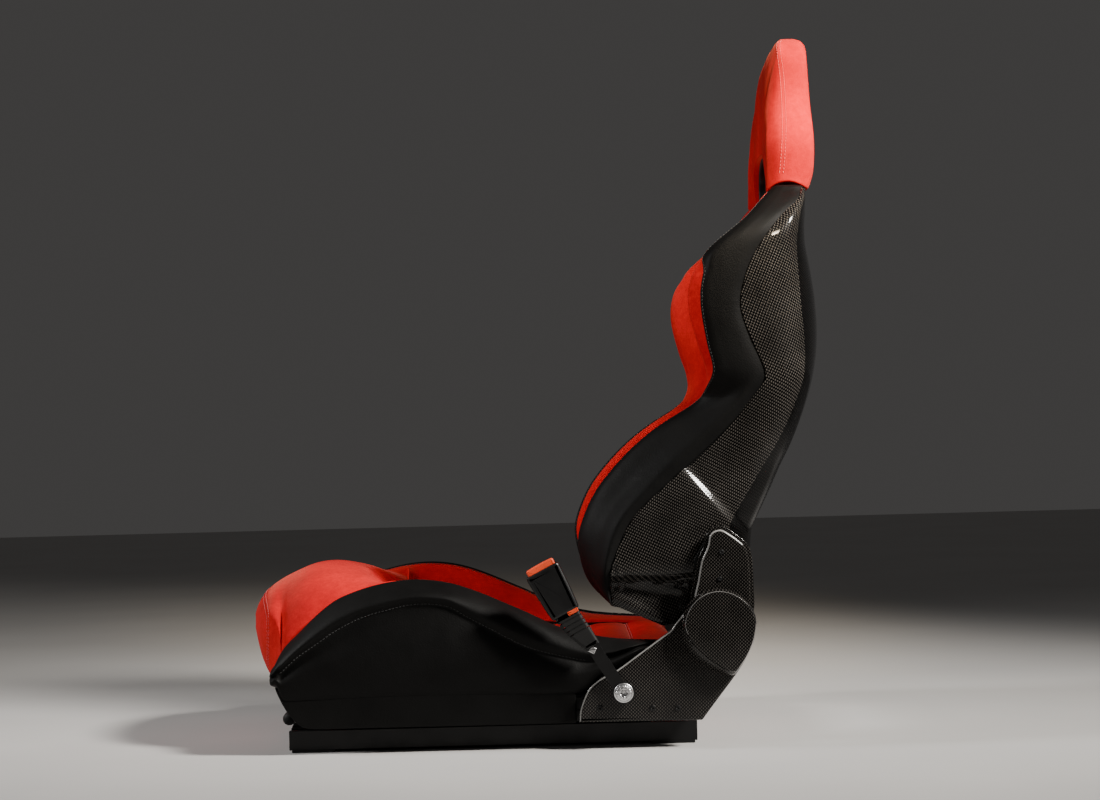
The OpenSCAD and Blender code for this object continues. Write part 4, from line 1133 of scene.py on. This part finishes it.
def make_buckle_case():
    """The buckle's case, open at the top for the belt tongue, with a fine parting line round its middle."""
    outline = [(-18.5, 2), (-16.5, 0), (16.5, 0), (18.5, 2), (22.2, 58), (20.5, 62), (-20.5, 62), (-22.2, 58)]
    body = block("buckle_case", rounded(outline, 6, (2, 5, 6, 1), 150), 11, 4.0, PLASTIC)
    cut(body, block("slot", evened([(-19, 50), (19, 50), (20, 70), (-20, 70)], 60), 8.4, 1.0, PLASTIC))
    groove = loft("groove", [[(x, -30, -5), (x, 30, -5), (x, 30, 48), (x, -30, 48)] for x in (-0.35, 0.35)],
                  [PLASTIC])
    core = evened([(-17.3, 1), (17.3, 1), (20.4, 47), (-20.4, 47)], 60)
    cut(body, cut(groove, block("core", core, 12, 0.2, PLASTIC)))
    body.data.set_sharp_from_angle(angle=math.radians(50))
    return to_buckle(body)


def make_buckle_button():
    """The press button, with a slot for the tongue and ribs along its top."""
    outline = [(-16.5, 36), (16.5, 36), (18.4, 66.5), (16.6, 69), (-16.6, 69), (-18.4, 66.5)]
    body = plate("button_body", rounded(outline, 6, (0, 1), 120), (-0.3, 7.8), BUTTON, 1.8)
    cut(body, plate("pocket", evened([(-13, 30), (13, 30), (13, 62.5), (-13, 62.5)], 60), (2, 5.8), BUTTON, 0.3))
    ribs = [tube("rib", [(-0.2 + 8.0 * t, y, 69.1) for t in np.linspace(0.12, 0.88, 8)], 0.5, BUTTON, 8)
            for y in range(-10, 11, 5)]
    return to_buckle(join("buckle_press_button", [body] + ribs))


def make_boot():
    """The moulded boot round the strap below the buckle, with shallow ribs."""
    outline = [(-15.5, 1), (-13.2, -12), (-9.6, -26), (-4.5, -39), (1, -51.5), (19, -50), (18.6, -38), (17.6, -24),
               (16.4, -11), (15.5, 1)]
    body = block("buckle_boot_cover", rounded(outline, 6, (0, 4, 5, 9), 150), 9, 3.4, RUBBER)
    cutters = []
    for k, z in enumerate((-8, -14, -20, -26)):
        ring = block("ring", evened([(-21, z + 0.9), (24, z + 0.9), (24, z - 0.9), (-21, z - 0.9)], 24), 12, 0.3,
                     RUBBER)
        core = [(-11.8 + 2.2 * k, z + 4), (14 - 0.1 * k, z + 4), (14.4, z - 4), (-9.4 + 2.2 * k, z - 4)]
        cutters.append(cut(ring, block("core", evened(core, 24), 8.2, 0.3, RUBBER)))
    cutters.append(block("slot", evened([(-4, -70), (26, -70), (15, 10), (-9, 10)], 40), 1.7, 0.1, RUBBER))
    for cutter in cutters:
        cut(body, cutter)
    body.data.set_sharp_from_angle(angle=math.radians(50))
    return to_buckle(body)


def make_buckle_clip():
    """The bright clip that holds the strap's fold."""
    outline = rounded([(119, 122), (127, 118), (130.5, 125), (122.5, 129)], 6, range(4))
    return plate("buckle_strap_clip", outline, (273.8, 279.4), STEEL_BRIGHT, 1.0)


def make_buckle_tab():
    """The red tab along the bottom of the case."""
    outline = rounded([(2, -3.5), (15.5, -3.5), (16, 1.5), (2, 1.5)], 5, range(4))
    return to_buckle(plate("buckle_tab", outline, (-9.6, 10.4), BUTTON, 0.8))


# ---- levers, grips and skirts ----

# Rings of the recline lever's grip, as (place along it, half width, half thickness)
GRIP_RINGS = ((0, 7.6, 4.4), (0.03, 9.2, 5.8), (0.08, 10, 6.4), (0.3, 9.4, 6.2), (0.55, 9.2, 6.2),
              (0.8, 10.2, 6.4), (0.98, 10.6, 6.4), (1.1, 9.2, 5.8), (1.18, 6.4, 4.6), (1.2, 3, 3))
LEVER_X, GRIP_SQUARE, GRIP_LONG = -292.5, 0.7, 50
SKIRT_X = (240.5, 251.6)


def make_recline_grip():
    tip, root = np.array([172.0, 156.0]), np.array([222.0, 152.2])
    way = (tip - root) / np.linalg.norm(tip - root)
    across = np.array([-way[1], way[0]])
    rings = []
    for t, half, thick in GRIP_RINGS:
        ring = []
        for a in turns(32):
            c, s = [math.copysign(abs(v) ** GRIP_SQUARE, v) for v in (math.cos(a), math.sin(a))]
            ring.append((LEVER_X + thick * s, *(root + way * GRIP_LONG * t + across * half * c)))
        rings.append(ring)
    rows = chain(np.reshape(rings, (len(rings), -1)), [3] * len(rings), closed=False).reshape(-1, 32, 3)
    return loft("recline_grip", rows, [RUBBER])


def make_slide_grip():
    """A ribbed rubber sleeve over the middle of the slide release bar."""
    y, z, half, ribbed, pitch = -268, 26, 75, 66, 6
    rings = []
    for x in np.arange(-half, half + 0.01, 1.5):
        end = smooth(0, 5, half - abs(x))
        rib = 0.5 * math.cos(2 * math.pi * x / pitch) if abs(x) < ribbed else 0.2
        r = 6.9 + 1.7 * end + 0.4 * rib * end
        rings.append([(x, y + r * math.cos(a), z + r * math.sin(a)) for a in turns(32)])
    return loft("slide_grip", rings, [RUBBER])


def make_skirt(name, side):
    """The stiff leather panel between the cushion bolster's hem and the rail."""
    return plate(name, rounded(SKIRT, 5, (0, 6, 7), 200), SKIRT_X, LEATHER, 2.0, side)


# ---- everything in place ----

bolster = make_cushion_bolster()
thigh = make_thigh_pad()
middle = make_cushion_middle()
lumbar = make_back_panel("lumbar_panel", 191, 397, [232, 274, 316, 358])
upper_back = make_back_panel("upper_back_panel", 401, 646, [446, 490, 534, 578, 622])
back = make_back_bolster()
shoulder = make_shoulder_pad()
headrest = make_headrest()
run_cloth()


def seam_line(obj, col, low, high):
    """A seam up a loft's column, short of its ends by low and high rows."""
    return line_of(obj, range(low, obj["rows"] - high), [col])


def channel_lines(obj):
    return [line_of(obj, [r], range(5, PANEL_AT[6] + 3)) for r in obj["channels"]]


# Stitches, as (piece they lie on, name, seam lines, distances beside the seam)
RED_SEAMS = [
    (thigh, "thigh", [line_of(thigh, [8], range(THIGH_AT[1] + 1, THIGH_AT[11]))], (-2.4, 2.4)),
    (headrest, "headrest", [seam_line(headrest, c, 6, 5) for c in (HEAD_AT[4], HEAD_AT[14])], (-2.4, 2.4)),
    (middle, "cushion", channel_lines(middle), (-1.6, 1.6)),
    (lumbar, "lumbar", channel_lines(lumbar), (-1.6, 1.6)),
    (upper_back, "upper_back", channel_lines(upper_back), (-1.6, 1.6))]
BLACK_SEAMS = [
    (bolster, "cushion_bolster", [seam_line(bolster, BOLSTER_AT[3], 5, 5)], (2.2,)),
    (bolster, "cushion_crease", [seam_line(bolster, BOLSTER_AT[7], 6, 16)], (2.2,)),
    (back, "back_bolster", [seam_line(back, BACK_AT[4], 5, 5)], (-2.2,))]
SEAT_PIECES = (bolster, thigh, middle)

for piece in (bolster, thigh, middle, lumbar, upper_back, back, shoulder, headrest):
    subdivide(piece)
cut(headrest, harness_cutter(3.2))

for piece, label, lines, asides in BLACK_SEAMS:
    left = stitches(label + "_stitches_left", lines, piece, THREAD_BLACK, asides)
    for row in (left, mirrored(left, label + "_stitches_right")):
        placed(row, "seat_base" if piece in SEAT_PIECES else "backrest")
for piece, label, lines, asides in RED_SEAMS:
    placed(stitches(label + "_stitches", lines, piece, THREAD_RED, asides),
           "seat_base" if piece in SEAT_PIECES else "backrest")

for piece, name, body, nodes, fill in (
        (bolster, "cushion_bolster_cover_", "seat_base", ["cushion_bolster_"], 0.8),
        (back, "back_bolster_cover_", "backrest", ["lower_bolster_", "wing_bolster_"], 0.8),
        (shoulder, "shoulder_cover_", "backrest", ["shoulder_pad_"], 0.7)):
    right = mirrored(piece, name + "right")
    piece.name = name + "left"
    for cover, word in ((piece, "left"), (right, "right")):
        placed(cover, body, [node + word for node in nodes])
for piece, body, node, fill in ((thigh, "seat_base", "cushion_front", 0.8),
                                (middle, "seat_base", "cushion_center", 0.6),
                                (lumbar, "backrest", "lumbar_pad", 0.6),
                                (upper_back, "backrest", "back_center_pad", 0.6),
                                (headrest, "backrest", "headrest_pad", 0.8)):
    placed(piece, body, [node])
for side, word in ((1, "left"), (-1, "right")):
    placed(make_skirt("side_skirt_" + word, side), "seat_base")
    placed(make_lower_cover("lower_cover_carbon_" + word, side), "seat_base",
           ["lower_cover_" + word])
    placed(make_arm_cover("arm_cover_carbon_" + word, side), "backrest", ["arm_cover_" + word])
for piece, body, slot, *nodes in (
        (make_head_panel(), "backrest", "carbon_fibre", "headrest_panel"),
        (make_bezel(), "backrest", "black_plastic", "harness_bezel"),
        (make_shell(), "backrest", "carbon_fibre", "back_shell"),
        (make_screw_heads("lower_cover_screw_heads", [(133, 51), (197, 49), (228, 48.5)], 268.2, 3.9),
         "seat_base", "frame_black", "lower_cover_screws"),
        (make_screw_heads("arm_cover_screw_heads", [(287, 238), (284, 205)], 262.1, 3.2),
         "backrest", "frame_black", "arm_cover_screws"),
        (make_bolt_head(), "seat_base", "bright_steel", "buckle_bolt"),
        (make_buckle_case(), "buckle_stalk", "black_plastic", "buckle_case_outer", "buckle_case_inner"),
        (make_boot(), "buckle_stalk", "black_rubber", "buckle_boot"),
        (make_buckle_clip(), "buckle_stalk", "bright_steel"),
        (make_buckle_tab(), "buckle_stalk", "button_red"),
        (make_buckle_button(), "buckle_press", "button_red", "buckle_button"),
        (make_recline_grip(), "recline_release", "black_rubber", "recline_lever_grip"),
        (make_slide_grip(), "slide_release", "black_rubber", "slide_release_grip")):
    placed(piece, body, nodes)

# CAD nodes that stay: their finish, and a small rounding of their edges
KEPT = (
    (STEEL_BLACK, "lower_rail_left lower_rail_right rail_feet upper_rail_left upper_rail_right cross_tube_front "
     "cross_tube_rear side_plate_left side_plate_right cushion_pan slide_release_bar arm_plate_left "
     "arm_plate_right recline_lever buckle_strap"),
    (STEEL_BRIGHT, "rail_rollers frame_bolts latch_pins recliner_lower_left recliner_lower_right buckle_bush "
     "buckle_bolt_nut recliner_upper_left recliner_upper_right arm_bolts sync_shaft buckle_latch"),
    (RUBBER, "rail_end_stops"),
)
for material, names in KEPT:
    for node in names.split():
        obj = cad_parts[node]
        obj.data.materials.clear()
        obj.data.materials.append(material)
        obj.modifiers.new("weld", "WELD").merge_threshold = 1e-5
        bevel = obj.modifiers.new("edge", "BEVEL")
        bevel.width, bevel.segments, bevel.limit_method = 0.5 * MM, 2, "ANGLE"
        bevel.angle_limit, bevel.harden_normals = math.radians(40), True

# ---- stage, light and camera ----


def make_floor():
    size, drop = 7000.0, -0.4
    obj = new_object("floor", [(x * size, y * size, drop) for x, y in ((-1, -1), (1, -1), (1, 1), (-1, 1))],
                     [(0, 1, 2, 3)], [])
    s = Shader("floor_pale", (0.5, 0.49, 0.48), 0.8)
    s.link(Base_Color=s.mix(s.range(s.noise(3, 3, 0.5), 0.3, 0.7, 0, 1), (0.49, 0.48, 0.47), (0.52, 0.51, 0.5)))
    obj.data.materials.append(s.material)


def area_light(name, place, target, size, power, colour, spread):
    data = bpy.data.lights.new(name, "AREA")
    data.shape, data.size, data.size_y = "RECTANGLE", *size
    data.energy, data.color, data.spread = power, colour, math.radians(spread)
    obj = linked(name, data)
    obj.location = place
    obj.rotation_euler = (Vector(target) - Vector(place)).to_track_quat("-Z", "Y").to_euler()


make_floor()
world = bpy.data.worlds.new("studio")
world.use_nodes = True
background = world.node_tree.nodes["Background"].inputs
background["Color"].default_value = (0.9, 0.87, 0.85, 1)
background["Strength"].default_value = 0.06
scene.world = world
area_light("rear_key", (1.2, 2.2, 2.25), (0.0, 0.0, 0.3), (0.5, 0.5), 26, (1.0, 0.96, 0.9), 60)
area_light("front_soft", (0.2, -2.3, 1.6), (0.0, -0.2, 0.2), (0.55, 0.55), 6, (1.0, 0.985, 0.97), 60)
area_light("side_fill", (2.8, -1.6, 1.7), (0, 0.0, 0.3), (1.4, 1.0), 0.2, (0.97, 0.98, 1.0), 80)
area_light("head_key", (1.5, 0.7, 1.6), (0.15, 0.4, 0.86), (0.3, 0.3), 2.2, (1.0, 0.82, 0.58), 26)

# Camera: focal length and place, then its turn up, about the vertical and about its own axis, in degrees
LENS, CAMERA_AT, LEVEL, TURN, ROLL = 85.1, (3.4585, 0.0745, 0.4015), 0.514, -0.122, -1.5
camera = linked("camera", bpy.data.cameras.new("camera"))
camera.data.lens = LENS
camera.data.sensor_width = 36
camera.location = CAMERA_AT
look = Euler((math.radians(90 + LEVEL), 0, math.radians(90 + TURN)), "XYZ").to_matrix()
camera.rotation_euler = (look @ Matrix.Rotation(math.radians(ROLL), 3, "Z")).to_euler()
scene.camera = camera
